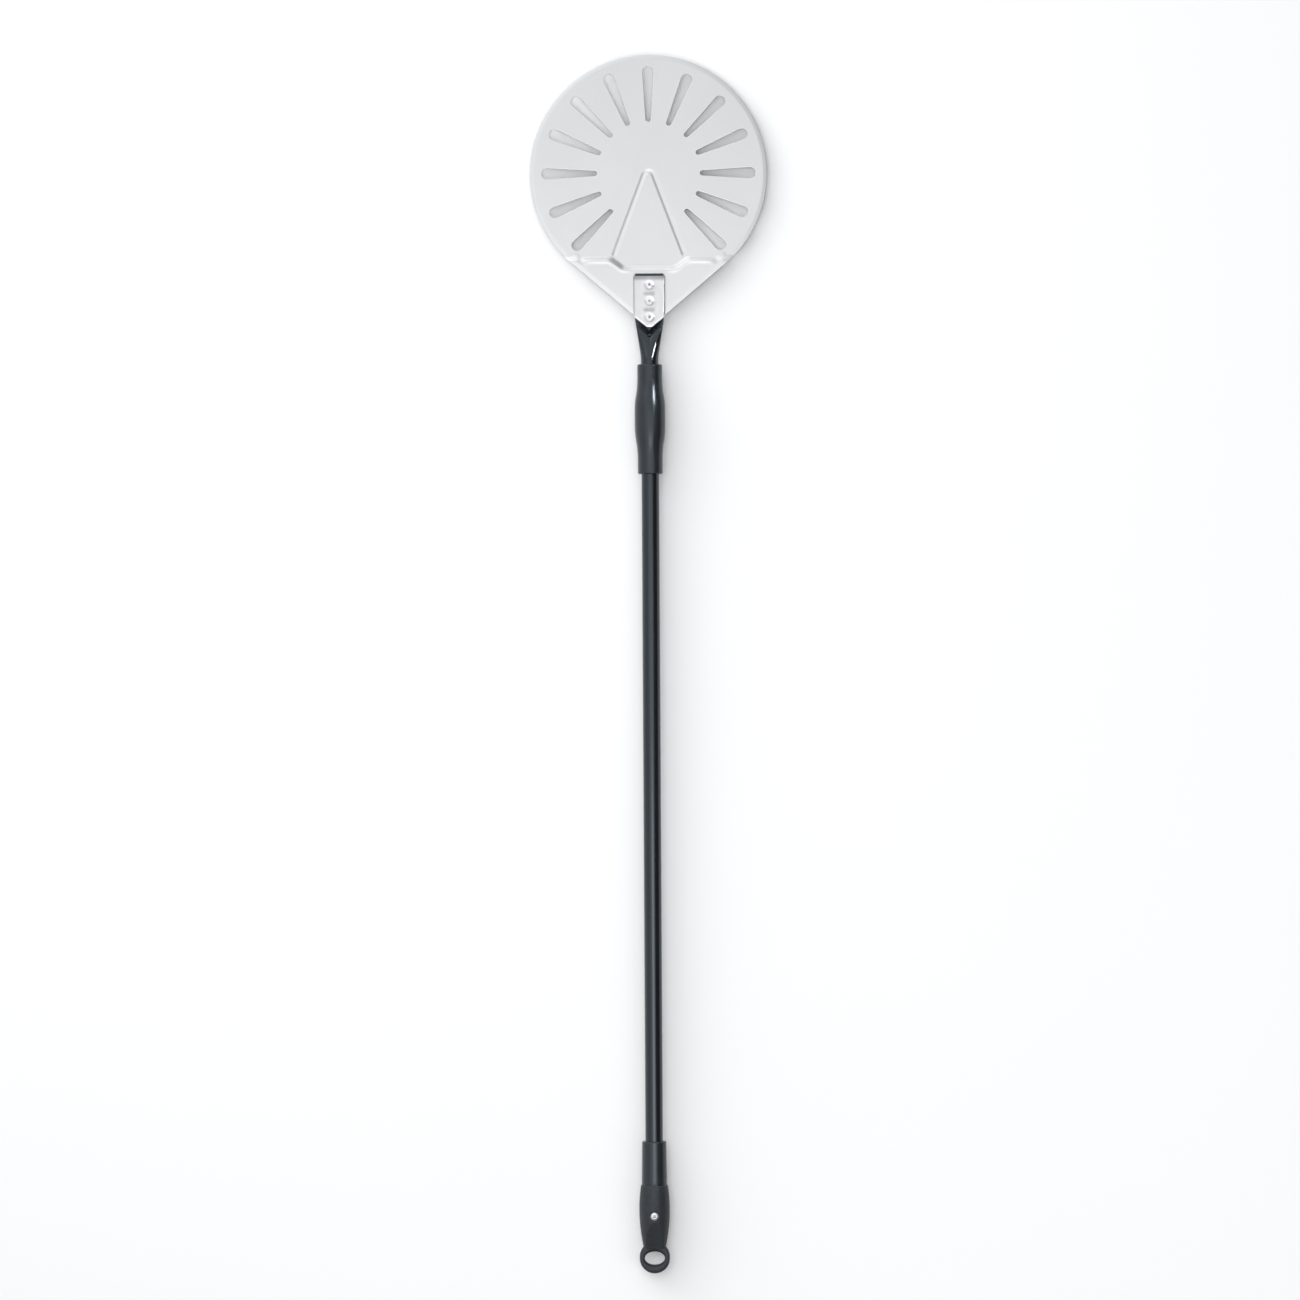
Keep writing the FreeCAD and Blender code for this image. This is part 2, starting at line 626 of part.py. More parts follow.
def make_handle_tube():
    """Round tube whose front end is pressed flat to a tongue."""
    body = make_body("handle_tube", up=axis_height)
    inner = size["tube_radius"] - size["tube_wall"]
    wall_both = size["tube_wall"] * 2

    round_end = make_sketch(body, "round_end", "XZ_Plane", -size["tube_round_end"])
    draw_round_section(round_end, size["tube_radius"])
    make_pad(body, round_end, "round_length", size["tube_round_end"] + size["tube_tail"])
    doc.recompute()
    half_flat = make_sketch(body, "half_flat", "XZ_Plane", -size["flare_middle"])
    draw_flat_section(half_flat, size["flare_width"], size["flare_height"])
    narrow_flat = make_sketch(body, "narrow_flat", "XZ_Plane", -size["flare_front"])
    draw_flat_section(narrow_flat, size["flare_front_width"], size["tongue_thickness"])
    flat = make_sketch(body, "flat", "XZ_Plane", -size["tongue_back"])
    draw_flat_section(flat, size["tongue_width"], size["tongue_thickness"])
    doc.recompute()
    make_loft(body, "PartDesign::AdditiveLoft", "flare", [round_end, half_flat, narrow_flat])
    doc.recompute()
    make_loft(body, "PartDesign::AdditiveLoft", "widening", [narrow_flat, flat])
    doc.recompute()
    tongue_length = size["tongue_front"] - size["tongue_back"]
    make_pad(body, flat, "tongue", tongue_length, towards_normal=False)
    doc.recompute()

    bore_round = make_sketch(body, "bore_round", "XZ_Plane", -size["tube_round_end"])
    draw_round_section(bore_round, inner)
    make_pocket(body, bore_round, "bore", size["tube_round_end"] + size["tube_tail"], against_normal=False)
    doc.recompute()
    bore_half = make_sketch(body, "bore_half", "XZ_Plane", -size["flare_middle"])
    half_width = size["flare_width"] - wall_both
    half_height = size["flare_height"] - wall_both
    draw_flat_section(bore_half, half_width, half_height)
    bore_slit = make_sketch(body, "bore_slit", "XZ_Plane", -size["flare_front"])
    slit_height = size["tube_wall"] / 5
    draw_flat_section(bore_slit, size["flare_front_width"] - wall_both, slit_height)
    doc.recompute()
    make_loft(body, "PartDesign::SubtractiveLoft", "flare_bore", [bore_round, bore_half, bore_slit])
    doc.recompute()

    holes = make_sketch(body, "neck_rivet_holes", "XY_Plane")
    for index in (1, 0, -1):
        add_circle(holes, (ZERO, middle_rivet + rivet_pitch * index), size["rivet_hole_radius"])
    make_pocket(body, holes, "neck_rivet_cut")
    doc.recompute()
    tail_hole = make_sketch(body, "tail_rivet_hole", "XY_Plane")
    add_circle(tail_hole, (ZERO, -(size["end_grip_front"] + size["end_rivet_back"])), size["rivet_hole_radius"])
    make_pocket(body, tail_hole, "tail_rivet_cut", size["tube_radius"] * 2, against_normal=False)
    return body


# ---------------------------------------------------------------- rivets


def make_blind_rivet(name, along, seat, grip, head_radius):
    """Blind rivet: domed head on its seat, shank, swollen blind end, and a hollow core."""
    body = make_body(name, along=along, up=seat)
    core = size["mandrel_radius"]
    shank = size["rivet_shank_radius"]
    bulb = size["rivet_bulb_radius"]
    blind = grip + size["rivet_bulb_length"]
    rise = size["rivet_head_rise"]
    rim = rise / 4
    sketch = make_sketch(body, "profile", "XZ_Plane")
    corners = [
        (core, -blind),
        (bulb, -blind),
        (bulb, -grip),
        (shank, -grip),
        (shank, ZERO),
        (head_radius, ZERO),
        (head_radius, rim),
    ]
    edges = []
    for start, end in zip(corners, corners[1:]):
        edges.append(add_line(sketch, start, end))
    dome_rise = rise.value - rim.value
    dome_radius = (head_radius.value ** 2 + dome_rise ** 2) / (2 * dome_rise)
    dome_centre = rise.value - dome_radius
    start_angle = math.degrees(math.atan2(rim.value - dome_centre, head_radius.value))
    crown = math.sqrt(dome_radius ** 2 - core.value ** 2) + dome_centre
    end_angle = math.degrees(math.atan2(crown - dome_centre, core.value))
    dome = add_arc(sketch, (ZERO, Size(dome_centre)), Size(dome_radius), start_angle, end_angle)
    wall = add_line(sketch, (core, Size(crown)), corners[0])
    for first, second in zip(edges, edges[1:]):
        meet(sketch, first, 2, second, 1)
    meet(sketch, edges[-1], 2, dome, 1)
    meet(sketch, dome, 2, wall, 1)
    meet(sketch, wall, 2, edges[0], 1)
    for edge, corner in zip(edges, corners):
        pin_point(sketch, edge, 1, *corner)
    pin_point(sketch, edges[-1], 2, *corners[-1])
    pin_point(sketch, dome, 3, ZERO, Size(dome_centre))
    sketch.addConstraint(Sketcher.Constraint("Vertical", wall))
    make_revolution(body, sketch, "turned")
    return body


def make_mandrel(name, along, seat, grip):
    """The broken-off stem left in a blind rivet, with its head below the blind end."""
    body = make_body(name, along=along, up=seat)
    blind = grip + size["rivet_bulb_length"]
    core = size["mandrel_radius"]
    head = size["rivet_shank_radius"]
    crown = size["rivet_head_rise"] - size["mandrel_recess"]
    tail = blind + size["mandrel_radius"] / 2
    sketch = make_sketch(body, "profile", "XZ_Plane")
    add_polygon(sketch, [
        (ZERO, -tail),
        (head, -tail),
        (head, -blind),
        (core, -blind),
        (core, crown),
        (ZERO, crown),
    ])
    make_revolution(body, sketch, "turned")
    return body


# ---------------------------------------------------------------- sliding grip


def s_curve(sketch, start, end):
    """Two equal tangent arcs between two radii, parallel to the axis at both ends."""
    (r0, y0), (r1, y1) = start, end
    length = abs(y1.value - y0.value)
    rise = abs(r1.value - r0.value)
    bend = (length ** 2 + rise ** 2) / (4 * rise)
    sign = 1 if r1.value > r0.value else -1
    half = math.degrees(math.asin(length / 2 / bend))
    down = y1.value < y0.value
    outer_centre = (Size(r0.value + sign * bend), y0)
    inner_centre = (Size(r1.value - sign * bend), y1)
    facing = 180 if sign > 0 else 0
    if down:
        first_angles = (facing, facing + half) if sign > 0 else (facing - half, facing)
        second_angles = (0, half) if sign > 0 else (180 - half, 180)
    else:
        first_angles = (facing - half, facing) if sign > 0 else (facing, facing + half)
        second_angles = (-half, 0) if sign > 0 else (180, 180 + half)
    first = add_arc(sketch, outer_centre, Size(bend), *first_angles)
    second = add_arc(sketch, inner_centre, Size(bend), *second_angles)
    return first, second


def make_sliding_grip():
    """Barrel-shaped sleeve that turns and slides on the tube with its liner."""
    body = make_body("sliding_grip", along=size["slide_grip_middle"], up=axis_height)
    bore = size["liner_radius"] + size["running_gap"]
    recess = size["flange_radius"] + size["running_gap"] * 2
    half = size["slide_grip_half"]
    collar = size["slide_collar_radius"]
    belly = size["slide_belly_radius"]
    front = size["front_collar_back"]
    belly_front = size["belly_front"]
    belly_back = -size["belly_back"]
    rear = -size["rear_collar_front"]

    sketch = make_sketch(body, "profile", "XY_Plane")
    end_face = add_line(sketch, (collar, half), (bore, half))
    bore_wall = add_line(sketch, (bore, half), (bore, -half))
    tail_face = add_line(sketch, (bore, -half), (collar, -half))
    rear_collar = add_line(sketch, (collar, -half), (collar, rear))
    rear_low, rear_high = s_curve(sketch, (collar, rear), (belly, belly_back))
    belly_line = add_line(sketch, (belly, belly_back), (belly, belly_front))
    front_high, front_low = s_curve(sketch, (belly, belly_front), (collar, front))
    front_collar = add_line(sketch, (collar, front), (collar, half))

    meet(sketch, end_face, 2, bore_wall, 1)
    meet(sketch, bore_wall, 2, tail_face, 1)
    meet(sketch, tail_face, 2, rear_collar, 1)
    meet(sketch, rear_collar, 2, rear_low, 2)
    meet(sketch, rear_low, 1, rear_high, 1)
    meet(sketch, rear_high, 2, belly_line, 1)
    meet(sketch, belly_line, 2, front_high, 1)
    meet(sketch, front_high, 2, front_low, 2)
    meet(sketch, front_low, 1, front_collar, 1)
    meet(sketch, front_collar, 2, end_face, 1)
    pin_point(sketch, end_face, 1, collar, half)
    pin_point(sketch, bore_wall, 1, bore, half)
    pin_point(sketch, tail_face, 1, bore, -half)
    pin_point(sketch, rear_collar, 1, collar, -half)
    pin_point(sketch, rear_collar, 2, collar, rear)
    pin_point(sketch, belly_line, 1, belly, belly_back)
    pin_point(sketch, belly_line, 2, belly, belly_front)
    pin_point(sketch, front_collar, 1, collar, front)
    for low, high in ((rear_low, rear_high), (front_low, front_high)):
        sketch.addConstraint(Sketcher.Constraint("Equal", low, high))
    last = make_revolution(body, sketch, "turned")
    doc.recompute()

    recess_depth = size["flange_recess"]
    for name, inner_end, outer_end in (
        ("front_recess", half - recess_depth, half),
        ("rear_recess", -half, recess_depth - half),
    ):
        cut_sketch = make_sketch(body, name + "_profile", "XY_Plane")
        add_polygon(cut_sketch, [
            (bore / 2, inner_end),
            (recess, inner_end),
            (recess, outer_end),
            (bore / 2, outer_end),
        ])
        groove = body.newObject("PartDesign::Groove", name)
        groove.Profile = cut_sketch
        groove.ReferenceAxis = (cut_sketch, ["V_Axis"])
        groove.Angle = 360
        doc.recompute()
        last = groove

    def is_outer_end_edge(edge):
        far = abs(edge.CenterOfMass.y) > half.value - TOUCH
        wide = edge.BoundBox.XLength > recess.value + collar.value
        return far and wide

    round_edges(body, last, "end_rounding", size["edge_round"], is_outer_end_edge)
    return body


def ring_profile(body, name, corners):
    """Turn a closed outline of straight edges about the tube's axis."""
    sketch = make_sketch(body, name + "_profile", "XY_Plane")
    add_polygon(sketch, corners)
    make_revolution(body, sketch, name)


def make_grip_liner():
    """Thin sleeve between the tube and the grip, flanged at its front."""
    body = make_body("grip_liner", along=size["slide_grip_middle"], up=axis_height)
    inner = size["tube_radius"] + size["running_gap"]
    outer = size["liner_radius"]
    flange_back = size["slide_grip_half"] - size["flange_recess"] + size["running_gap"] * 2
    flange_front = flange_back + size["flange_thickness"]
    ring_profile(body, "sleeve", [
        (inner, -flange_front),
        (outer, -flange_front),
        (outer, flange_back),
        (size["flange_radius"], flange_back),
        (size["flange_radius"], flange_front),
        (inner, flange_front),
    ])
    return body


def make_retaining_ring():
    """Ring pressed on the liner's rear end, which holds the grip on."""
    body = make_body("grip_retaining_ring", along=size["slide_grip_middle"], up=axis_height)
    ring_front = size["slide_grip_half"] - size["flange_recess"] + size["running_gap"] * 2
    ring_back = ring_front + size["flange_thickness"]
    ring_profile(body, "ring", [
        (size["liner_radius"], -ring_back),
        (size["flange_radius"], -ring_back),
        (size["flange_radius"], -ring_front),
        (size["liner_radius"], -ring_front),
    ])
    return body


# ---------------------------------------------------------------- end grip


def add_hanging_ring(body):
    """Flat ring with straight sides between two half circles, rounded all over."""
    ring = size["ring_radius"]
    front = -size["ring_front_centre"]
    back = -(size["overall_length"] / 2 - size["end_grip_front"] - ring)
    sketch = make_sketch(body, "ring_outline", "XY_Plane", -(size["ring_thickness"] / 2))
    front_arc = add_arc(sketch, (ZERO, front), ring, 0, 180)
    left_line = add_line(sketch, (-ring, front), (-ring, back))
    back_arc = add_arc(sketch, (ZERO, back), ring, 180, 360)
    right_line = add_line(sketch, (ring, back), (ring, front))
    meet(sketch, front_arc, 2, left_line, 1, smooth=True)
    meet(sketch, left_line, 2, back_arc, 1, smooth=True)
    meet(sketch, back_arc, 2, right_line, 1, smooth=True)
    meet(sketch, right_line, 2, front_arc, 1, smooth=True)
    pin_point(sketch, front_arc, 3, ZERO, front)
    pin_point(sketch, back_arc, 3, ZERO, back)
    bind(sketch, "Radius", front_arc, to=ring)
    plate = make_pad(body, sketch, "hanging_ring", size["ring_thickness"])
    doc.recompute()
    half = size["ring_thickness"].value / 2

    def is_face_edge(edge):
        return edge_at_height(edge, half) or edge_at_height(edge, -half)

    round_edges(body, plate, "ring_rounding", size["ring_round"], is_face_edge)
    doc.recompute()


def draw_end_profile(sketch):
    """Half section of the grip: collar, step, swell and the taper to its neck."""
    nose = size["end_nose_radius"]
    collar = size["end_collar_radius"]
    step = size["end_step_radius"]
    belly = size["end_belly_radius"]
    neck = size["end_neck_radius"]
    collar_back = -size["end_collar_back"]
    step_back = -size["end_step_back"]
    belly_back = -size["end_belly_back"]
    neck_back = -size["end_neck_back"]

    front_face = add_line(sketch, (ZERO, ZERO), (nose, ZERO))
    collar_line = add_line(sketch, (nose, ZERO), (collar, collar_back))
    step_line = add_line(sketch, (collar, collar_back), (step, step_back))
    swell, swell_angle = bend_to_crown(step_back, belly_back, belly - step)
    front_swell = add_arc(sketch, (belly - swell, belly_back), Size(swell), 0, swell_angle)
    taper, taper_angle = bend_to_crown(belly_back, neck_back, belly - neck)
    rear_taper = add_arc(sketch, (belly - taper, belly_back), Size(taper), -taper_angle, 0)
    tail_face = add_line(sketch, (neck, neck_back), (ZERO, neck_back))
    axis_line = add_line(sketch, (ZERO, neck_back), (ZERO, ZERO))

    meet(sketch, front_face, 2, collar_line, 1)
    meet(sketch, collar_line, 2, step_line, 1)
    meet(sketch, step_line, 2, front_swell, 2)
    meet(sketch, front_swell, 1, rear_taper, 2)
    meet(sketch, rear_taper, 1, tail_face, 1)
    meet(sketch, tail_face, 2, axis_line, 1)
    meet(sketch, axis_line, 2, front_face, 1)
    pin_point(sketch, front_face, 1, ZERO, ZERO)
    pin_point(sketch, collar_line, 1, nose, ZERO)
    pin_point(sketch, step_line, 1, collar, collar_back)
    pin_point(sketch, step_line, 2, step, step_back)
    pin_point(sketch, front_swell, 1, belly, belly_back)
    pin_point(sketch, tail_face, 1, neck, neck_back)
    pin_point(sketch, tail_face, 2, ZERO, neck_back)
    bind(sketch, "DistanceY", front_swell, 3, to=belly_back)
    bind(sketch, "DistanceY", rear_taper, 3, to=belly_back)


def bend_to_crown(front, back, rise):
    """Radius and angle of an arc that rises by the given amount and ends level."""
    run = front.value - back.value
    radius = (run ** 2 + rise.value ** 2) / (2 * rise.value)
    return radius, math.degrees(math.asin(run / radius))


def thin_to_ring(body):
    """Slope the top and the underside of the swell down to the ring's faces."""
    front = -size["ring_slope_front"]
    back = -(size["end_neck_back"] + size["edge_round"])
    crown = size["end_belly_radius"]
    flat = size["ring_thickness"] / 2
    for name, side in (("top_slope", 1), ("bottom_slope", -1)):
        sketch = make_sketch(body, name + "_area", "YZ_Plane")
        add_polygon(sketch, [
            (front, crown * side),
            (back, flat * side),
            (back, crown * side),
        ])
        make_pocket(body, sketch, name)
        doc.recompute()


def make_end_grip():
    """Moulded grip with a collar, a swell, a neck and a flat hanging ring."""
    body = make_body("end_grip", along=-size["end_grip_front"], up=axis_height)
    add_hanging_ring(body)
    profile = make_sketch(body, "profile", "XY_Plane")
    draw_end_profile(profile)
    turned = make_revolution(body, profile, "turned")

    def is_nose_rim(edge):
        return abs(edge.CenterOfMass.y) < TOUCH and edge.Length > TOUCH

    round_edges(body, turned, "nose_rounding", size["edge_round"], is_nose_rim)
    doc.recompute()
    thin_to_ring(body)

    hole = make_sketch(body, "hang_hole", "XY_Plane")
    centre = (ZERO, -size["hang_hole_back"])
    half_width = size["hang_hole_half_width"]
    half_length = size["hang_hole_half_length"]
    oval = hole.addGeometry(Part.Ellipse(flat_vector(*centre), half_width.value, half_length.value), False)
    hole.exposeInternalGeometry(oval)
    pin_point(hole, oval, 3, *centre)
    make_pocket(body, hole, "hang_hole_cut")
    doc.recompute()

    socket = make_sketch(body, "socket", "XZ_Plane")
    add_circle(socket, (ZERO, ZERO), size["tube_radius"])
    make_pocket(body, socket, "socket_cut", size["socket_depth"], against_normal=False)
    doc.recompute()
    seat_place = (ZERO, -size["end_rivet_back"])
    crown = size["end_belly_radius"] - size["end_rivet_seat"]
    seat = make_sketch(body, "rivet_seat", "XY_Plane", size["end_rivet_seat"])
    add_circle(seat, seat_place, size["end_rivet_seat_radius"])
    make_pocket(body, seat, "rivet_seat_cut", crown * 2, against_normal=False)
    doc.recompute()
    rivet_hole = make_sketch(body, "rivet_hole", "XY_Plane")
    add_circle(rivet_hole, seat_place, size["rivet_hole_radius"])
    make_pocket(body, rivet_hole, "rivet_hole_cut", size["end_rivet_seat"] * 2, against_normal=False)
    return body


# ---------------------------------------------------------------- assembly and export


def make_neck_rivets():
    """Three blind rivets through the cover, the tongue and the blade's neck."""
    grip = cover_top - neck_bottom
    made = []
    for name, index in (("front", 1), ("middle", 0), ("rear", -1)):
        along = middle_rivet + rivet_pitch * index
        made.append(make_blind_rivet(f"neck_rivet_{name}", along, cover_top, grip, size["neck_head_radius"]))
        made.append(make_mandrel(f"neck_rivet_{name}_mandrel", along, cover_top, grip))
    return made


def make_end_rivet():
    """The rivet that pins the end grip to the top wall of the tube."""
    along = -(size["end_grip_front"] + size["end_rivet_back"])
    seat = axis_height + size["end_rivet_seat"]
    inner = size["tube_radius"] - size["tube_wall"]
    wall_height = math.sqrt(inner.value ** 2 - size["rivet_bulb_radius"].value ** 2)
    grip = size["end_rivet_seat"] - wall_height
    return [
        make_blind_rivet("end_rivet", along, seat, grip, size["end_head_radius"]),
        make_mandrel("end_rivet_mandrel", along, seat, grip),
    ]


def check_document():
    """Stop if any object of the document failed."""
    failed = [item for item in doc.Objects if "Invalid" in item.State or "Error" in item.State]
    if failed:
        raise RuntimeError("failed: " + ", ".join(item.Name for item in failed))


def export(parts):
    """Write each sub-part to its own file, once it is known to be one valid solid."""
    for part in parts:
        shape = part.Shape
        if shape.isNull() or not shape.isValid() or len(shape.Solids) != 1:
            raise RuntimeError(f"{part.Label} is not one valid solid")
        shape.exportStep(f"parts/{part.Label}.step")
        box = shape.BoundBox
        low = f"{box.XMin:8.1f} {box.YMin:8.1f} {box.ZMin:6.2f}"
        high = f"{box.XMax:8.1f} {box.YMax:8.1f} {box.ZMax:6.2f}"
        print(f"{part.Label:28s} {low}  {high}  {shape.Volume:10.1f} mm3")


parts = [
    make_blade(),
    make_neck_cover(),
    make_handle_tube(),
    make_sliding_grip(),
    make_grip_liner(),
    make_retaining_ring(),
    make_end_grip(),
]
parts += make_neck_rivets()
parts += make_end_rivet()
doc.recompute()
check_document()
export(parts)
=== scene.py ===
import functools
import math

import bmesh
import bpy
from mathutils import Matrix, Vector
from mathutils.geometry import delaunay_2d_cdt


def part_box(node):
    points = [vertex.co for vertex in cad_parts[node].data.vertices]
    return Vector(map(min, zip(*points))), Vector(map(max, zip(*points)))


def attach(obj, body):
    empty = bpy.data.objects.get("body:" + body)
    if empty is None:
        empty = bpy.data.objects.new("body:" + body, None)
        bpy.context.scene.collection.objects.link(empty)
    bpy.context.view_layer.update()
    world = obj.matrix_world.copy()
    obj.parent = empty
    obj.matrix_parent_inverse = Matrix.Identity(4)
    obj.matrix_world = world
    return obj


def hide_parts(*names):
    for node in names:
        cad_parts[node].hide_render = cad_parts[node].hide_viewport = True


# Looks of a perforated turning peel: blade, riveted neck, black tube, sliding grip and end grip.
# Shapes are worked out in millimetres in the CAD frame, and become metres in make_piece.

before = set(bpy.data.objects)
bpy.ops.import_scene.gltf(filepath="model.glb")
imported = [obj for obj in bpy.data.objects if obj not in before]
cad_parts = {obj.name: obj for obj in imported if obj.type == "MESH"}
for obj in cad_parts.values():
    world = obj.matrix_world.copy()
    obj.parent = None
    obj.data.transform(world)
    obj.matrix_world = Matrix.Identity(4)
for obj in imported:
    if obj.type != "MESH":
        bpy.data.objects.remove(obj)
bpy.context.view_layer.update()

MM = 0.001


def node_box(node):
    """Lowest and highest corner of a CAD node, in millimetres."""
    low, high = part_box(node)
    return low / MM, high / MM


# -------------------- small geometry helpers


def clamp(value, low=0.0, high=1.0):
    return min(high, max(low, value))


def mix(start, end, share):
    return start + (end - start) * share


def soft_ramp(t, corner):
    """0 before t = 0 and 1 after t = 1, straight between, with both corners rounded over +-corner."""

    def area(u):
        if u <= 0:
            return 0.0
        return u - 0.5 if u >= 1 else u * u / 2

    return (area(t + corner) - area(t - corner)) / (2 * corner)


def s_step(t):
    """0 to 1 along two equal arcs, level at both ends."""
    t = clamp(t)
    return 2 * t * t if t < 0.5 else 1 - 2 * (1 - t) ** 2


def spread(start, end, step):
    """Evenly spaced values from start to end, about a step apart."""
    count = max(1, round(abs(end - start) / step))
    return [mix(start, end, index / count) for index in range(count + 1)]


def arc_points(centre, radius, start, end, step):
    """Points on an arc between two angles in degrees, about a step apart."""
    angles = spread(math.radians(start), math.radians(end), step / radius)
    return [(centre[0] + radius * math.cos(a), centre[1] + radius * math.sin(a)) for a in angles]


def rounded(corners, steps=4):
    """A polyline whose corners, given as (a, b, radius), are replaced by short arcs."""
    points = []
    for index, (a, b, radius) in enumerate(corners):
        here = Vector((a, b))
        if radius <= 0:
            points.append((a, b))
            continue
        before = (Vector(corners[index - 1][:2]) - here).normalized()
        after = (Vector(corners[(index + 1) % len(corners)][:2]) - here).normalized()
        half = before.angle(after) / 2
        reach = radius / math.tan(half)
        middle = here + (before + after).normalized() * (radius / math.sin(half))
        first = here + before * reach - middle
        last = here + after * reach - middle
        for step in range(steps + 1):
            direction = first.slerp(last, step / steps).normalized()
            points.append(tuple(middle + direction * radius))
    return points


def offset_loop(loop, distance):
    """A closed outline moved to the left of its own direction, with mitred corners."""
    moved = []
    count = len(loop)
    for index, point in enumerate(loop):
        here = Vector(point)
        arriving = (here - Vector(loop[index - 1])).normalized()
        leaving = (Vector(loop[(index + 1) % count]) - here).normalized()
        normal = Vector((-arriving.y - leaving.y, arriving.x + leaving.x)).normalized()
        stretch = normal.dot(Vector((-arriving.y, arriving.x)))
        moved.append(tuple(here + normal * (distance / stretch)))
    return moved


def edge_round(depth, radius):
    """How far a rounded edge falls below its face, at a depth in from the side."""
    if depth >= radius:
        return 0.0
    return radius - math.sqrt(radius ** 2 - (radius - depth) ** 2)


# -------------------- meshes


def make_piece(name, points, faces, material, body="root", stands_for=(), crease=35):
    """A shown piece from points in millimetres. Edges sharper than crease degrees stay sharp."""
    mesh = bpy.data.meshes.new(name)
    mesh.from_pydata([Vector(point) * MM for point in points], [], faces)
    tidy = bmesh.new()
    tidy.from_mesh(mesh)
    bmesh.ops.recalc_face_normals(tidy, faces=tidy.faces)
    tidy.to_mesh(mesh)
    tidy.free()
    mesh.materials.append(material)
    mesh.shade_smooth()
    mesh.set_sharp_from_angle(angle=math.radians(crease))
    piece = bpy.data.objects.new(name, mesh)
    bpy.context.scene.collection.objects.link(piece)
    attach(piece, body)
    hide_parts(*stands_for)
    return piece


def paint_edge_and_light(piece, values):
    """Gives each vertex the value that the finish reads as its edge attribute: bare cut edges on the blade,
    painted highlight and painted shade on the cover.
    """
    edge = piece.data.attributes.new("edge", "FLOAT", "POINT")
    edge.data.foreach_set("value", values)


def grid_faces(rows, columns, close_rows=False, close_columns=False, start=0):
    """Quads of a grid whose points are listed row by row."""
    faces = []
    for row in range(rows if close_rows else rows - 1):
        for column in range(columns if close_columns else columns - 1):
            next_row = (row + 1) % rows
            next_column = (column + 1) % columns
            corners = ((row, column), (row, next_column), (next_row, next_column), (next_row, column))
            faces.append([start + a * columns + b for a, b in corners])
    return faces


def turn_profile(profile, steps, place):
    """Points and faces of a profile of (radius, along) turned once round.

    place(radius, along, angle) gives the point. A closed profile makes a ring, and one that
    starts and ends on the axis makes a closed solid.
    """
    on_axis = profile[0][0] == 0
    rings = profile[1:-1] if on_axis else profile
    points = []
    for radius, along in rings:
        points += [place(radius, along, math.tau * step / steps) for step in range(steps)]
    faces = grid_faces(len(rings), steps, close_rows=not on_axis, close_columns=True)
    if on_axis:
        first_pole = len(points)
        points += [place(0, profile[0][1], 0), place(0, profile[-1][1], 0)]
        last_ring = (len(rings) - 1) * steps
        for step in range(steps):
            after = (step + 1) % steps
            faces.append([first_pole, after, step])
            faces.append([first_pole + 1, last_ring + step, last_ring + after])
    return points, faces


def along_handle(height):
    """Places a turned profile round the tube's axis."""
    return lambda radius, along, angle: (radius * math.sin(angle), along, height + radius * math.cos(angle))


def upright(across, along):
    """Places a turned profile round a vertical line."""

    def place(radius, up, angle):
        return across + radius * math.cos(angle), along + radius * math.sin(angle), up

    return place


def fill_steps(profile, longest):
    """The same profile with its long straight stretches divided."""
    filled = []
    for (a0, b0), (a1, b1) in zip(profile, profile[1:] + profile[:1]):
        count = max(1, math.ceil(math.hypot(a1 - a0, b1 - b0) / longest))
        filled += [(mix(a0, a1, k / count), mix(b0, b1, k / count)) for k in range(count)]
    return filled


# -------------------- materials

NOISE_LOW, NOISE_HIGH = 0.3, 0.7
# The black pieces reflect with a slightly blue cast
COOL_SHEEN = (0.78, 0.9, 1.0, 1.0)


def range_node(tree, value, *limits, kind="LINEAR"):
    """A value mapped from one range to another, given as two pairs of limits."""
    node = tree.nodes.new("ShaderNodeMapRange")
    node.interpolation_type = kind
    tree.links.new(value, node.inputs["Value"])
    for socket, number in zip(("From Min", "From Max", "To Min", "To Max"), limits):
        node.inputs[socket].default_value = number
    return node.outputs["Result"]


def math_node(tree, operation, first, second):
    """A math node on two values, each a number or a socket."""
    node = tree.nodes.new("ShaderNodeMath")
    node.operation = operation
    for socket, value in zip(node.inputs, (first, second)):
        if isinstance(value, (int, float)):
            socket.default_value = value
        else:
            tree.links.new(value, socket)
    return node.outputs["Value"]


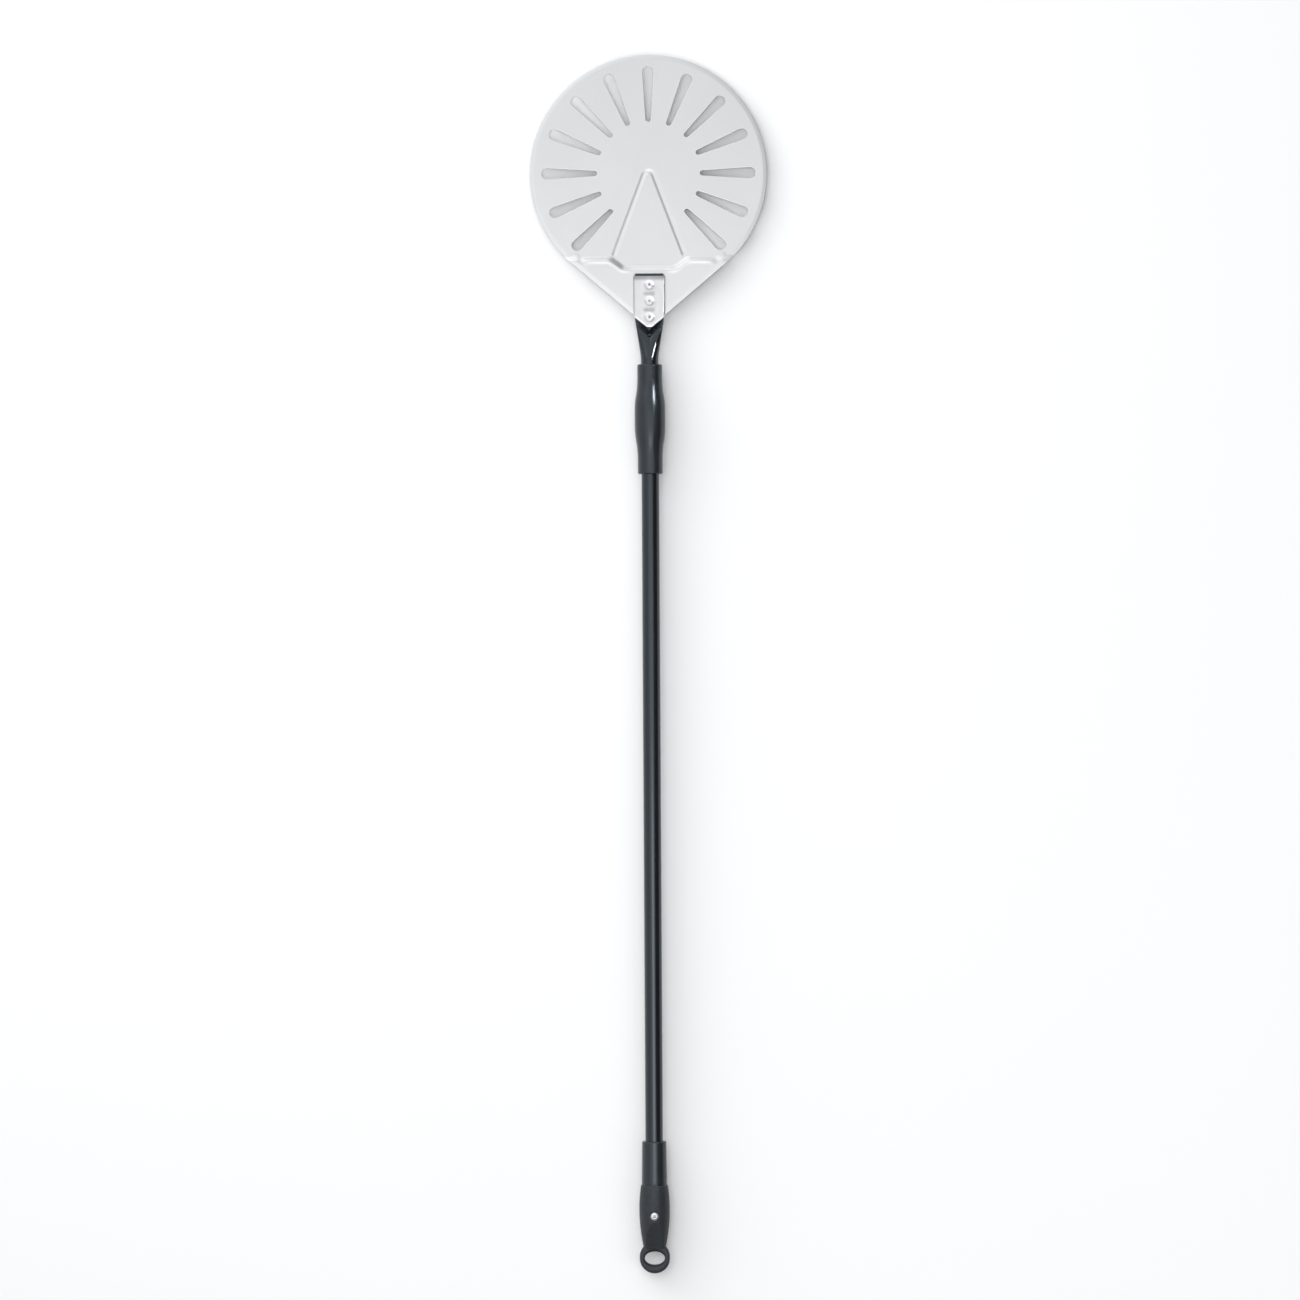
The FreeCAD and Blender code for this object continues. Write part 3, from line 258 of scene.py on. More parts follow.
class Finish:
    """A material with a Principled shader, and short ways to add patterns to it."""

    def __init__(self, name, metallic, color, roughness, **sockets):
        self.material = bpy.data.materials.new(name)
        self.material.use_nodes = True
        self.tree = self.material.node_tree
        self.shader = self.tree.nodes["Principled BSDF"]
        self.shader.inputs["Metallic"].default_value = metallic
        self.shader.inputs["Base Color"].default_value = (*color, 1)
        self.shader.inputs["Roughness"].default_value = roughness
        for socket, value in sockets.items():
            self.shader.inputs[socket.replace("_", " ")].default_value = value
        self.place = self.tree.nodes.new("ShaderNodeTexCoord").outputs["Object"]
        self.height = None

    def scaled_place(self, grain, shift=0.0):
        """Object coordinates measured in grains, which are given in millimetres along X, Y and Z."""
        mapping = self.tree.nodes.new("ShaderNodeMapping")
        mapping.inputs["Scale"].default_value = [1 / (size * MM) for size in grain]
        mapping.inputs["Location"].default_value = (shift, shift * 2, shift * 3)
        self.tree.links.new(self.place, mapping.inputs["Vector"])
        return mapping.outputs["Vector"]

    def noise(self, grain, detail=2.0, shift=0.0):
        """Cloudy noise, with values mostly between NOISE_LOW and NOISE_HIGH."""
        texture = self.tree.nodes.new("ShaderNodeTexNoise")
        texture.inputs["Scale"].default_value = 1.0
        texture.inputs["Detail"].default_value = detail
        self.tree.links.new(self.scaled_place(grain, shift), texture.inputs["Vector"])
        return texture.outputs["Fac"]

    def cells(self, grain):
        """Distance to scattered points, for pits and spark marks."""
        texture = self.tree.nodes.new("ShaderNodeTexVoronoi")
        texture.inputs["Scale"].default_value = 1.0
        self.tree.links.new(self.scaled_place([grain] * 3), texture.inputs["Vector"])
        return texture.outputs["Distance"]

    def attribute(self, name):
        """A value that the mesh holds at each vertex."""
        node = self.tree.nodes.new("ShaderNodeAttribute")
        node.attribute_name = name
        return node.outputs["Fac"]

    def vary(self, noise, low, high):
        """Noise stretched to run from low to high."""
        return range_node(self.tree, noise, NOISE_LOW, NOISE_HIGH, low, high)

    def combine(self, operation, first, second):
        return math_node(self.tree, operation, first, second)

    def add(self, value, pattern, share):
        """A value with a share of a pattern added."""
        return self.combine("ADD", value, self.combine("MULTIPLY", pattern, share))

    def tint(self, share, dark, light):
        """Base colour between two colours."""
        node = self.tree.nodes.new("ShaderNodeMix")
        node.data_type = "RGBA"
        colours = [socket for socket in node.inputs if socket.type == "RGBA"]
        colours[0].default_value = (*dark, 1)
        colours[1].default_value = (*light, 1)
        self.tree.links.new(share, node.inputs[0])
        result = [socket for socket in node.outputs if socket.type == "RGBA"][0]
        self.tree.links.new(result, self.shader.inputs["Base Color"])

    def roughen(self, value):
        self.tree.links.new(value, self.shader.inputs["Roughness"])

    def emboss(self, height, depth):
        """Bump of the given depth in millimetres, added to any before it."""
        node = self.tree.nodes.new("ShaderNodeBump")
        node.inputs["Distance"].default_value = depth * MM
        self.tree.links.new(height, node.inputs["Height"])
        if self.height is not None:
            self.tree.links.new(self.height, node.inputs["Normal"])
        self.height = node.outputs["Normal"]
        self.tree.links.new(self.height, self.shader.inputs["Normal"])


def blade_finish():
    """Satin anodised sheet: faint rolling lines, fine grain, brighter machined edges."""
    finish = Finish("satin_sheet", 1.0, (0.62, 0.625, 0.635), 0.42)
    cloud = finish.noise((55, 70, 55), detail=3)
    lines = finish.noise((0.5, 60, 8), detail=3, shift=4)
    grain = finish.noise((0.35, 0.35, 0.35), detail=2, shift=9)
    mottle = finish.add(finish.combine("MULTIPLY", cloud, 0.55), lines, 0.45)
    edge = finish.attribute("edge")
    share = finish.add(finish.vary(mottle, 0.1, 0.6), edge, 0.35)
    finish.tint(share, (0.565, 0.57, 0.578), (0.63, 0.633, 0.638))
    finish.roughen(finish.add(finish.vary(lines, 0.38, 0.45), edge, -0.1))
    finish.emboss(grain, 0.006)
    finish.emboss(lines, 0.004)
    return finish.material


def cover_finish():
    """Bright drawn sheet: fine lines along the handle, a painted highlight on the rolled edge, painted
    shade along the front edge and round the dents.
    """
    finish = Finish("bright_cover", 1.0, (0.7, 0.7, 0.7), 0.3)
    lines = finish.noise((0.22, 25, 1.2), detail=3)
    cloud = finish.noise((9, 14, 9), detail=2, shift=3)
    mottle = finish.add(finish.combine("MULTIPLY", lines, 0.6), cloud, 0.4)
    # the edge attribute lifts the colour for the painted highlight and pulls it to the dark end for the
    # painted shade
    share = finish.add(finish.vary(mottle, 0.4, 0.5), finish.attribute("edge"), 0.5)
    finish.tint(share, (0.2, 0.2, 0.205), (0.92, 0.92, 0.925))
    finish.roughen(finish.vary(lines, 0.3, 0.38))
    finish.emboss(lines, 0.006)
    return finish.material


def tube_finish():
    """Glossy black anodising over faint extrusion lines."""
    finish = Finish("black_anodised", 0.0, (0.005, 0.005, 0.006), 0.15, Specular_IOR_Level=0.62,
                    Specular_Tint=COOL_SHEEN)
    lines = finish.noise((0.3, 120, 0.3), detail=3)
    haze = finish.noise((6, 45, 6), detail=3, shift=5)
    finish.tint(haze, (0.0035, 0.004, 0.005), (0.007, 0.0075, 0.009))
    finish.roughen(finish.combine("ADD", finish.vary(lines, 0.1, 0.16), finish.vary(haze, 0.0, 0.05)))
    finish.emboss(lines, 0.004)
    return finish.material


def grip_finish():
    """Semi-matt black plastic with a fine even grain."""
    finish = Finish("semi_matt_plastic", 0.0, (0.015, 0.016, 0.018), 0.2, Specular_IOR_Level=0.5,
                    Specular_Tint=COOL_SHEEN)
    grain = finish.noise((0.28, 0.28, 0.28), detail=2)
    haze = finish.noise((7, 16, 7), detail=3, shift=2)
    finish.tint(haze, (0.012, 0.013, 0.015), (0.018, 0.0195, 0.022))
    finish.roughen(finish.vary(haze, 0.18, 0.24))
    finish.emboss(grain, 0.012)
    return finish.material


def spark_finish():
    """Black plastic with the coarse spark-eroded grain of a moulded grip."""
    finish = Finish("textured_plastic", 0.0, (0.014, 0.015, 0.017), 0.5, Specular_IOR_Level=0.5,
                    Specular_Tint=COOL_SHEEN)
    pits = finish.cells(0.75)
    grain = finish.noise((0.5, 0.5, 0.5), detail=4)
    haze = finish.noise((5, 5, 5), detail=3, shift=2)
    finish.tint(finish.combine("MULTIPLY", grain, haze), (0.006, 0.0065, 0.0075), (0.036, 0.038, 0.042))
    finish.roughen(finish.vary(grain, 0.44, 0.62))
    finish.emboss(pits, 0.09)
    finish.emboss(grain, 0.06)
    return finish.material


def liner_finish():
    """Dark nylon with turning marks."""
    finish = Finish("dark_nylon", 0.0, (0.05, 0.052, 0.056), 0.4)
    rings = finish.noise((20, 0.12, 20), detail=2)
    finish.tint(rings, (0.035, 0.036, 0.04), (0.06, 0.062, 0.068))
    finish.roughen(finish.vary(rings, 0.34, 0.48))
    finish.emboss(rings, 0.01)
    return finish.material


def rivet_finish():
    """Bright formed aluminium."""
    finish = Finish("rivet_head", 1.0, (0.6, 0.6, 0.61), 0.3)
    marks = finish.noise((0.8, 0.8, 0.8), detail=4)
    finish.tint(finish.vary(marks, 0, 1), (0.54, 0.54, 0.55), (0.64, 0.64, 0.645))
    finish.roughen(finish.vary(marks, 0.36, 0.48))
    finish.emboss(marks, 0.012)
    return finish.material


def mandrel_finish():
    """Broken steel stem."""
    finish = Finish("mandrel_steel", 1.0, (0.3, 0.3, 0.31), 0.4)
    marks = finish.noise((0.3, 0.3, 0.3), detail=4)
    finish.tint(marks, (0.2, 0.2, 0.21), (0.42, 0.42, 0.43))
    finish.roughen(finish.vary(marks, 0.3, 0.5))
    finish.emboss(marks, 0.05)
    return finish.material


# -------------------- blade

blade_low, blade_high = node_box("blade")
cover_low, cover_high = node_box("neck_cover")

BLADE_RADIUS = blade_high.x
DISC_CENTRE = blade_high.y - BLADE_RADIUS
TIP_REACH = DISC_CENTRE - blade_low.y
SHEET = 1.5
NECK_RISE = 3.0
DISC_TOP = blade_high.z - NECK_RISE
DISC_BOTTOM = DISC_TOP - SHEET
CORNER_HALF, CORNER_REACH = 15.2, 137.6
TIP_HALF = 4.0

BEVEL_WIDTH, BEVEL_DROP = 4.0, 0.6
EDGE_RADIUS = 0.3
RIM_RINGS = (0, 0.04, 0.15, 0.3, 1.1, 2.1, 3.0, 3.5, 4.0, 4.4, 4.8)
HOLE_RINGS = (0, 0.04, 0.15, 0.3, 0.8)

SLOT_COUNT, SLOT_FAN = 13, 270.0
SLOT_INNER_REACH, SLOT_INNER_RADIUS = 50.0, 2.4
SLOT_OUTER_REACH, SLOT_OUTER_RADIUS = 103.5, 5.3
SLOT_INNER_MIDDLE = SLOT_INNER_REACH + SLOT_INNER_RADIUS
SLOT_OUTER_MIDDLE = SLOT_OUTER_REACH - SLOT_OUTER_RADIUS
SLOT_LENGTH = SLOT_OUTER_MIDDLE - SLOT_INNER_MIDDLE
SLOT_PITCH = math.radians(SLOT_FAN) / (SLOT_COUNT - 1)
RIVET_HOLE = 2.45

GROOVE_RIDGE = DISC_BOTTOM - blade_low.z
GROOVE_HOLLOW = 0.6  # shallower than the ridge below it, so that it shows as a soft line
GROOVE_HALF_WIDTH = 3.1
GROOVE_TIP_RADIUS, GROOVE_TIP_CENTRE = 5.1, 3.4
GROOVE_ANGLE = math.radians(20.7)
GROOVE_END = 78.0

NECK_RIVETS = ("neck_rivet_front", "neck_rivet_middle", "neck_rivet_rear")
RIVET_PLACES = [sum(node_box(node), Vector()).y / 2 - DISC_CENTRE for node in NECK_RIVETS]

NECK_RAMP = 4.5
CREASE_OUTER, CREASE_MIDDLE = 85.0, 94.0
CREASE_SHOULDER, CREASE_FOOT = 38.5, 26.0
LIP_RISE, LIP_FALL = 0.5, 2.8
LIP_FADE_START, LIP_FADE_END = 17.0, 23.0
LIP_END_START, LIP_END = 55.0, 66.0


def crest_reach(x):
    """How far behind the disc's centre the hat-shaped crest runs, at x to the side."""
    share = (abs(x) - CREASE_FOOT) / (CREASE_SHOULDER - CREASE_FOOT)
    return mix(CREASE_MIDDLE, CREASE_OUTER, soft_ramp(share, 0.2))


def behind_crest(x, y):
    """Distance behind the crest, towards the handle."""
    slope = crest_reach(x + 0.5) - crest_reach(x - 0.5)
    return (-y - crest_reach(x)) / math.hypot(1, slope)


def neck_rise(x, y):
    """Height of the pressed neck: a ramp, a low lip along its crest, then a flat."""
    past = behind_crest(x, y)
    ramp = soft_ramp(1 + past / NECK_RAMP, 0.2)
    sides = soft_ramp((abs(x) - LIP_FADE_START) / (LIP_FADE_END - LIP_FADE_START), 0.2)
    sides *= 1 - soft_ramp((abs(x) - LIP_END_START) / (LIP_END - LIP_END_START), 0.2)
    lip = LIP_RISE * sides * (1 - soft_ramp(past / LIP_FALL, 0.3))
    return (NECK_RISE + lip) * ramp


def groove_distance(x, y):
    """Distance to the V groove's centreline: an arc at its tip and a straight leg each side."""
    x = abs(x)
    centre = Vector((0, -GROOVE_TIP_CENTRE))
    leg = Vector((math.sin(GROOVE_ANGLE), -math.cos(GROOVE_ANGLE)))
    touch = centre + GROOVE_TIP_RADIUS * Vector((math.cos(GROOVE_ANGLE), math.sin(GROOVE_ANGLE)))
    run = (GROOVE_END + touch.y) / math.cos(GROOVE_ANGLE)
    here = Vector((x, y))
    along = (here - touch).dot(leg)
    if along < 0:
        return abs((here - centre).length - GROOVE_TIP_RADIUS)
    return (here - touch - leg * min(along, run)).length


def pressed(distance, half_width):
    """Share of a pressed bead's depth, at a distance from its middle."""
    if distance >= half_width:
        return 0.0
    return 0.5 + 0.5 * math.cos(math.pi * distance / half_width)


def blade_outline(depth):
    """Anticlockwise outline at a depth in from the rim: disc, neck corners, blunt tip."""
    reach = math.hypot(CORNER_HALF, CORNER_REACH)
    swing = math.degrees(math.acos(BLADE_RADIUS / reach))
    tangent = swing - math.degrees(math.atan2(CORNER_REACH, CORNER_HALF))
    rim = arc_points((0, 0), BLADE_RADIUS, tangent, 180 - tangent, 0.9)
    right = [rim[0], (CORNER_HALF, -CORNER_REACH), (TIP_HALF, -TIP_REACH)]
    corners = [(-x, y) for x, y in right] + right[::-1]
    lengths = [math.dist(start, end) for start, end in zip(corners, corners[1:])]
    moved = offset_loop(corners, depth)
    rim = [(x * (1 - depth / BLADE_RADIUS), y * (1 - depth / BLADE_RADIUS)) for x, y in rim]
    moved[0], moved[-1] = rim[-1], rim[0]
    neck = []
    for (x0, y0), (x1, y1), length in zip(moved, moved[1:], lengths):
        neck += [(mix(x0, x1, share), mix(y0, y1, share)) for share in spread(0, 1, 0.9 / length)[:-1]]
    return rim[:-1] + neck


def rim_distance(x, y):
    """Distance in from the blade's outline."""
    reach = math.hypot(CORNER_HALF, CORNER_REACH)
    tangent = math.acos(BLADE_RADIUS / reach) - math.atan2(CORNER_REACH, CORNER_HALF)
    x = abs(x)
    side = BLADE_RADIUS - x * math.cos(tangent) - y * math.sin(tangent)
    tip_normal = Vector((TIP_REACH - CORNER_REACH, TIP_HALF - CORNER_HALF)).normalized()
    tip = (Vector((CORNER_HALF, -CORNER_REACH)) - Vector((x, y))).dot(tip_normal)
    nearest = min(side, tip, y + TIP_REACH)
    if math.atan2(y, x) > tangent:
        nearest = min(nearest, BLADE_RADIUS - math.hypot(x, y))
    return nearest


def slot_outline(turn, depth):
    """Clockwise outline of one slot, at a depth in from its edge."""
    lean = math.degrees(math.asin((SLOT_OUTER_RADIUS - SLOT_INNER_RADIUS) / SLOT_LENGTH))
    wide = arc_points((0, SLOT_OUTER_MIDDLE), SLOT_OUTER_RADIUS, 180 + lean, -lean, 0.8)
    narrow = arc_points((0, SLOT_INNER_MIDDLE), SLOT_INNER_RADIUS, -lean, -180 + lean, 0.6)
    loop = []
    for start, end in ((wide[-1], narrow[0]), (narrow[-1], wide[0])):
        length = math.hypot(end[0] - start[0], end[1] - start[1])
        shares = spread(0, 1, 1.6 / length)[1:-1]
        side = [(mix(start[0], end[0], share), mix(start[1], end[1], share)) for share in shares]
        loop += (wide + side) if start == wide[-1] else (narrow + side)
    return [turned(point, turn) for point in offset_loop(loop, depth)]


def slot_turns():
    """Clockwise turn of each slot from +Y, in radians."""
    return [math.radians(turn) for turn in spread(-SLOT_FAN / 2, SLOT_FAN / 2, SLOT_FAN / (SLOT_COUNT - 1))]


def turned(point, turn):
    """A point turned clockwise about the disc's centre."""
    x, y = point
    return (x * math.cos(turn) + y * math.sin(turn), y * math.cos(turn) - x * math.sin(turn))


def slot_distance(x, y):
    """Distance to the nearest slot's edge, negative inside it."""
    last = SLOT_COUNT // 2
    nearest = clamp(round(math.atan2(x, y) / SLOT_PITCH), -last, last) * SLOT_PITCH
    across, along = turned((x, y), -nearest)
    share = clamp((along - SLOT_INNER_MIDDLE) / SLOT_LENGTH)
    radius = mix(SLOT_INNER_RADIUS, SLOT_OUTER_RADIUS, share)
    return math.hypot(across, along - mix(SLOT_INNER_MIDDLE, SLOT_OUTER_MIDDLE, share)) - radius


def rivet_outline(place, depth):
    """Clockwise outline of a rivet hole, at a depth in from its edge."""
    hole = arc_points((0, 0), RIVET_HOLE, 360, 0, 0.6)[:-1]
    share = 1 + depth / RIVET_HOLE
    return [(x * share, y * share + place) for x, y in hole]


def blade_inner_points():
    """Points between the outlines: close together on the groove and the crease."""
    clear_rim = RIM_RINGS[-1] + 0.6
    clear_hole = HOLE_RINGS[-1] + 0.5
    groove_zone = GROOVE_HALF_WIDTH + 1.1
    crease_zone = (-NECK_RAMP - 2.0, LIP_FALL + 1.8)

    def free(x, y):
        if rim_distance(x, y) < clear_rim or slot_distance(x, y) < clear_hole:
            return False
        return all(math.hypot(x, y - place) > RIVET_HOLE + clear_hole for place in RIVET_PLACES)

    points = []
    for x in spread(-BLADE_RADIUS, BLADE_RADIUS, 1.3):
        lean = math.hypot(1, crest_reach(x + 0.5) - crest_reach(x - 0.5))
        for past in spread(*crease_zone, 0.5):
            points.append((x, -crest_reach(x) - past * lean))
    centre_y = -GROOVE_TIP_CENTRE
    offsets = spread(-groove_zone + 0.35, groove_zone - 0.35, 0.42)
    for offset in offsets:
        radius = GROOVE_TIP_RADIUS + offset
        arc = arc_points((0, centre_y), radius, math.degrees(GROOVE_ANGLE), 90, 0.8)
        points += arc + [(-x, y) for x, y in arc[:-1]]
        start_x = radius * math.cos(GROOVE_ANGLE)
        start_y = centre_y + radius * math.sin(GROOVE_ANGLE)
        for run in spread(1.0, GROOVE_END / math.cos(GROOVE_ANGLE) + groove_zone, 1.0):
            x = start_x + run * math.sin(GROOVE_ANGLE)
            y = start_y - run * math.cos(GROOVE_ANGLE)
            if x > 0.3:
                points += [(x, y), (-x, y)]
    step = 4.0
    for row, y in enumerate(spread(-TIP_REACH, BLADE_RADIUS, step * math.sqrt(0.75))):
        for x in spread(-BLADE_RADIUS, BLADE_RADIUS, step):
            x += step / 2 * (row % 2)
            on_groove = groove_distance(x, y) < groove_zone
            on_crease = crease_zone[0] - 0.5 < behind_crest(x, y) < crease_zone[1] + 0.5
            if not on_groove and not on_crease:
                points.append((x, y))
    return [point for point in points if free(*point)]


def blade_top(x, y):
    """Height of the sheet's upper face: neck and groove, without its rounded edges."""
    groove = GROOVE_HOLLOW * pressed(groove_distance(x, y), GROOVE_HALF_WIDTH)
    return DISC_TOP + neck_rise(x, y) - groove


def blade_bottom(x, y):
    """Height of the sheet's lower face, where the groove is a ridge."""
    ridge = pressed(groove_distance(x, y), GROOVE_HALF_WIDTH + SHEET * 0.7)
    return DISC_BOTTOM + neck_rise(x, y) - GROOVE_RIDGE * ridge


def rim_fall(depth):
    """Fall of the bevel and the rounded edge, at a depth in from the rim."""
    return BEVEL_DROP * (1 - soft_ramp(depth / BEVEL_WIDTH, 0.12)) + edge_round(depth, EDGE_RADIUS)


def add_loop(plan, faces, outline, rings, top_fall, bottom_fall):
    """Adds rings of points inside an outline and returns the indices of the innermost ring."""
    count = len(outline(0))
    start = len(plan)
    for depth in rings:
        falls = (top_fall(depth), bottom_fall(depth), 1.0 if depth <= EDGE_RADIUS else 0.0)
        plan += [(*point, *falls) for point in outline(depth)]
    faces += grid_faces(len(rings), count, close_columns=True, start=start)
    return list(range(start + (len(rings) - 1) * count, start + len(rings) * count))


def make_blade():
    """The pressed sheet as one closed mesh: a plan of points, once for each face of the sheet."""
    plan, faces, inner_loops, walls = [], [], [], []

    def small_fall(depth):
        return edge_round(depth, EDGE_RADIUS)

    outlines = [(blade_outline, RIM_RINGS, rim_fall)]
    for turn in slot_turns():
        outlines.append((functools.partial(slot_outline, turn), HOLE_RINGS, small_fall))
    for place in RIVET_PLACES:
        outlines.append((functools.partial(rivet_outline, place), HOLE_RINGS, small_fall))
    for outline, rings, fall in outlines:
        first = len(plan)
        inner_loops.append(add_loop(plan, faces, outline, rings, fall, small_fall))
        walls.append((first, len(inner_loops[-1])))

    fixed = [index for loop in inner_loops for index in loop]
    loop_of = {index: number for number, loop in enumerate(inner_loops) for index in loop}
    first_free = len(plan)
    plan += [(x, y, 0.0, 0.0, 0.0) for x, y in blade_inner_points()]
    used = fixed + list(range(first_free, len(plan)))
    position = {index: place for place, index in enumerate(used)}
    edges = []
    for loop in inner_loops:
        edges += [(position[a], position[b]) for a, b in zip(loop, loop[1:] + loop[:1])]
    flat = [Vector(plan[index][:2]) for index in used]
    result = delaunay_2d_cdt(flat, edges, [], 1, 1e-5)
    original = [used[sources[0]] for sources in result[3]]
    for triangle in result[2]:
        corners = [original[corner] for corner in triangle]
        on_loops = {loop_of.get(corner, 0) for corner in corners}
        inside_hole = len(on_loops) == 1 and 0 not in on_loops
        if not inside_hole:
            faces.append(corners)

    points = [(x, y + DISC_CENTRE, blade_top(x, y) - fall) for x, y, fall, _, _ in plan]
    points += [(x, y + DISC_CENTRE, blade_bottom(x, y) + fall) for x, y, _, fall, _ in plan]
    below = len(plan)
    solid = faces + [[corner + below for corner in reversed(face)] for face in faces]
    for start, count in walls:
        for index in range(count):
            a, b = start + index, start + (index + 1) % count
            solid.append([a, b, b + below, a + below])
    piece = make_piece("blade_sheet", points, solid, blade_finish(), stands_for=["blade"],
                       crease=50)
    paint_edge_and_light(piece, [row[4] for row in plan] * 2)
    return piece


# -------------------- cover over the riveted joint

COVER_HALF = cover_high.x
COVER_FRONT, COVER_TIP = cover_high.y, cover_low.y
COVER_TOP, COVER_BOTTOM = cover_high.z, cover_low.z
COVER_SHEET = 1.2
COVER_BEND = 1.7
COVER_CORNER = 335.6
COVER_TIP_HALF = 2.4
COVER_ROLL_WIDTH, COVER_ROLL_DROP = 1.9, 0.85
COVER_EDGE_RADIUS = 0.45
DENT_FLOOR, DENT_DEPTH = 4.4, 0.42
DENT_WALL_FRONT, DENT_WALL_BACK = 3.0, 4.4
# painted shade along the cover's front edge and at the front foot of each dent: its strength, width and
# place
FRONT_PAINTED_SHADE, FRONT_PAINTED_SHADE_WIDTH = 0.7, 2.5
DENT_PAINTED_SHADE, DENT_SHADE_AHEAD, DENT_SHADE_LENGTH, DENT_SHADE_HALF = 0.62, 6.8, 3.4, 6.5


def cover_end(x):
    """Where the cover's pointed rear edge runs, at x to the side."""
    share = (abs(x) - COVER_TIP_HALF) / (COVER_HALF - COVER_TIP_HALF)
    return mix(COVER_TIP, COVER_CORNER, soft_ramp(share, 0.06))


def cover_sag(x, y):
    """How far the rivets pull the top of the cover down round them."""
    sag = 0.0
    for place in RIVET_PLACES:
        ahead = y - place - DISC_CENTRE
        away = math.hypot(x, ahead)
        wall = mix(DENT_WALL_BACK, DENT_WALL_FRONT, clamp(0.5 + ahead / 6))
        sag = max(sag, DENT_DEPTH * (1 - soft_ramp((away - DENT_FLOOR) / wall, 0.3)))
    return sag


def cover_painted_shade(x, y):
    """Painted shade along the cover's front edge and at the front foot of each dent."""
    painted_shade = FRONT_PAINTED_SHADE * (1 - soft_ramp((COVER_FRONT - y - FRONT_PAINTED_SHADE_WIDTH) / FRONT_PAINTED_SHADE_WIDTH, 0.3))
    for place in RIVET_PLACES:
        ahead = y - place - DISC_CENTRE
        at_foot = pressed(abs(ahead - DENT_SHADE_AHEAD), DENT_SHADE_LENGTH)
        painted_shade = max(painted_shade, DENT_PAINTED_SHADE * at_foot * soft_ramp((DENT_SHADE_HALF - abs(x)) / 2.5, 0.3))
    return painted_shade


def cover_fall(x, y):
    """How far the cover's top lies below its flat level: rounded front, rolled rear, dents."""
    fall = edge_round(COVER_FRONT - y, COVER_EDGE_RADIUS)
    depth = clamp(1 - (y - cover_end(x)) / COVER_ROLL_WIDTH)
    fall += COVER_ROLL_DROP * (1 - math.sqrt(1 - depth ** 2))
    return fall + cover_sag(x, y) * soft_ramp((COVER_HALF - abs(x)) / 4, 0.2)


def make_cover():
    """Folded sheet: flat top, long sides bent down, pointed and rolled rear edge."""
    bottom = COVER_BOTTOM
    outer = [(-COVER_HALF, bottom, 0.25), (-COVER_HALF, COVER_TOP, COVER_BEND),
             (COVER_HALF, COVER_TOP, COVER_BEND), (COVER_HALF, bottom, 0.25)]
    inner_half, inner_top = COVER_HALF - COVER_SHEET, COVER_TOP - COVER_SHEET
    inner = [(inner_half, bottom, 0), (inner_half, inner_top, 0.4),
             (-inner_half, inner_top, 0.4), (-inner_half, bottom, 0)]
    section = fill_steps(rounded(outer + inner, steps=6), 0.8)
    from_front = [0, 0.05, 0.2, COVER_EDGE_RADIUS]
    from_back = [2.6, COVER_ROLL_WIDTH, 1.5, 1.1, 0.75, 0.45, 0.2, 0.07, 0.0]
    body_steps = 56
    rows = [("front", depth) for depth in from_front]
    rows += [("body", step / body_steps) for step in range(1, body_steps)]
    rows += [("back", depth) for depth in from_back]
    points, cover_painted_light = [], []
    for kind, value in rows:
        for x, z in section:
            end = cover_end(x)
            start = COVER_FRONT - from_front[-1]
            stop = end + from_back[0]
            y = {"front": COVER_FRONT - value, "body": mix(start, stop, value), "back": end + value}[kind]
            on_top = z > inner_top + 0.2
            # painted highlight on the rolled rear edge, less the painted shade at the front edge and round
            # the dents
            painted_light_here = clamp(1.3 - (y - end) / COVER_ROLL_WIDTH) - cover_painted_shade(x, y)
            cover_painted_light.append(painted_light_here if on_top else 0.0)
            points.append((x, y, z - cover_fall(x, y) if on_top else z))
    count = len(section)
    faces = grid_faces(len(rows), count, close_columns=True)
    faces.append(list(range(count)))
    faces.append(list(range((len(rows) - 1) * count, len(rows) * count)))
    piece = make_piece("cover_plate", points, faces, cover_finish(), stands_for=["neck_cover"],
                       crease=42)
    paint_edge_and_light(piece, cover_painted_light)


# -------------------- tube

tube_low, tube_high = node_box("handle_tube")
grip_low, grip_high = node_box("sliding_grip")
liner_low, liner_high = node_box("grip_liner")
END_FRONT = node_box("end_grip")[1].y

TUBE_RADIUS, TUBE_WALL = 8.5, 1.5
AXIS_HEIGHT = (liner_low.z + liner_high.z) / 2
TONGUE_HALF = 14.1
TONGUE_TOP = COVER_TOP - COVER_SHEET
TONGUE_BOTTOM = COVER_BOTTOM
TONGUE_MIDDLE = (TONGUE_TOP + TONGUE_BOTTOM) / 2
ROUND_END = 297.0
FLARE_FRONT = 331.0
STEP_CENTRE, STEP_SIDE = 316.5, 329.5
STEP_LENGTH, STEP_RISE = 1.1, 1.5
VALLEY_LENGTH, VALLEY_DEPTH = 7.5, 3.0
TONGUE_TIP_RADIUS = 1.5


def tube_half_width(y):
    """Half width of the tube: round, then widening evenly to the flat tongue."""
    share = (y - ROUND_END) / (FLARE_FRONT + 3 - ROUND_END)
    return mix(TUBE_RADIUS, TONGUE_HALF, soft_ramp(share, 0.12))


def tube_crown(x, y, half):
    """Height of the crown: flat tongue, a V-shaped valley and step, then a slope to the round."""
    step = mix(STEP_CENTRE, STEP_SIDE, clamp(abs(x) / half))
    climb = soft_ramp((step - y) / STEP_LENGTH, 0.3)
    valley = VALLEY_DEPTH * soft_ramp((step + VALLEY_LENGTH - y) / VALLEY_LENGTH, 0.25) * (1 - climb)
    rise = STEP_RISE * climb - valley
    share = (step - STEP_LENGTH / 2 - y) / (step - ROUND_END + 1)
    return TONGUE_TOP + rise + (AXIS_HEIGHT + TUBE_RADIUS - TONGUE_TOP - STEP_RISE) * soft_ramp(share, 0.1)


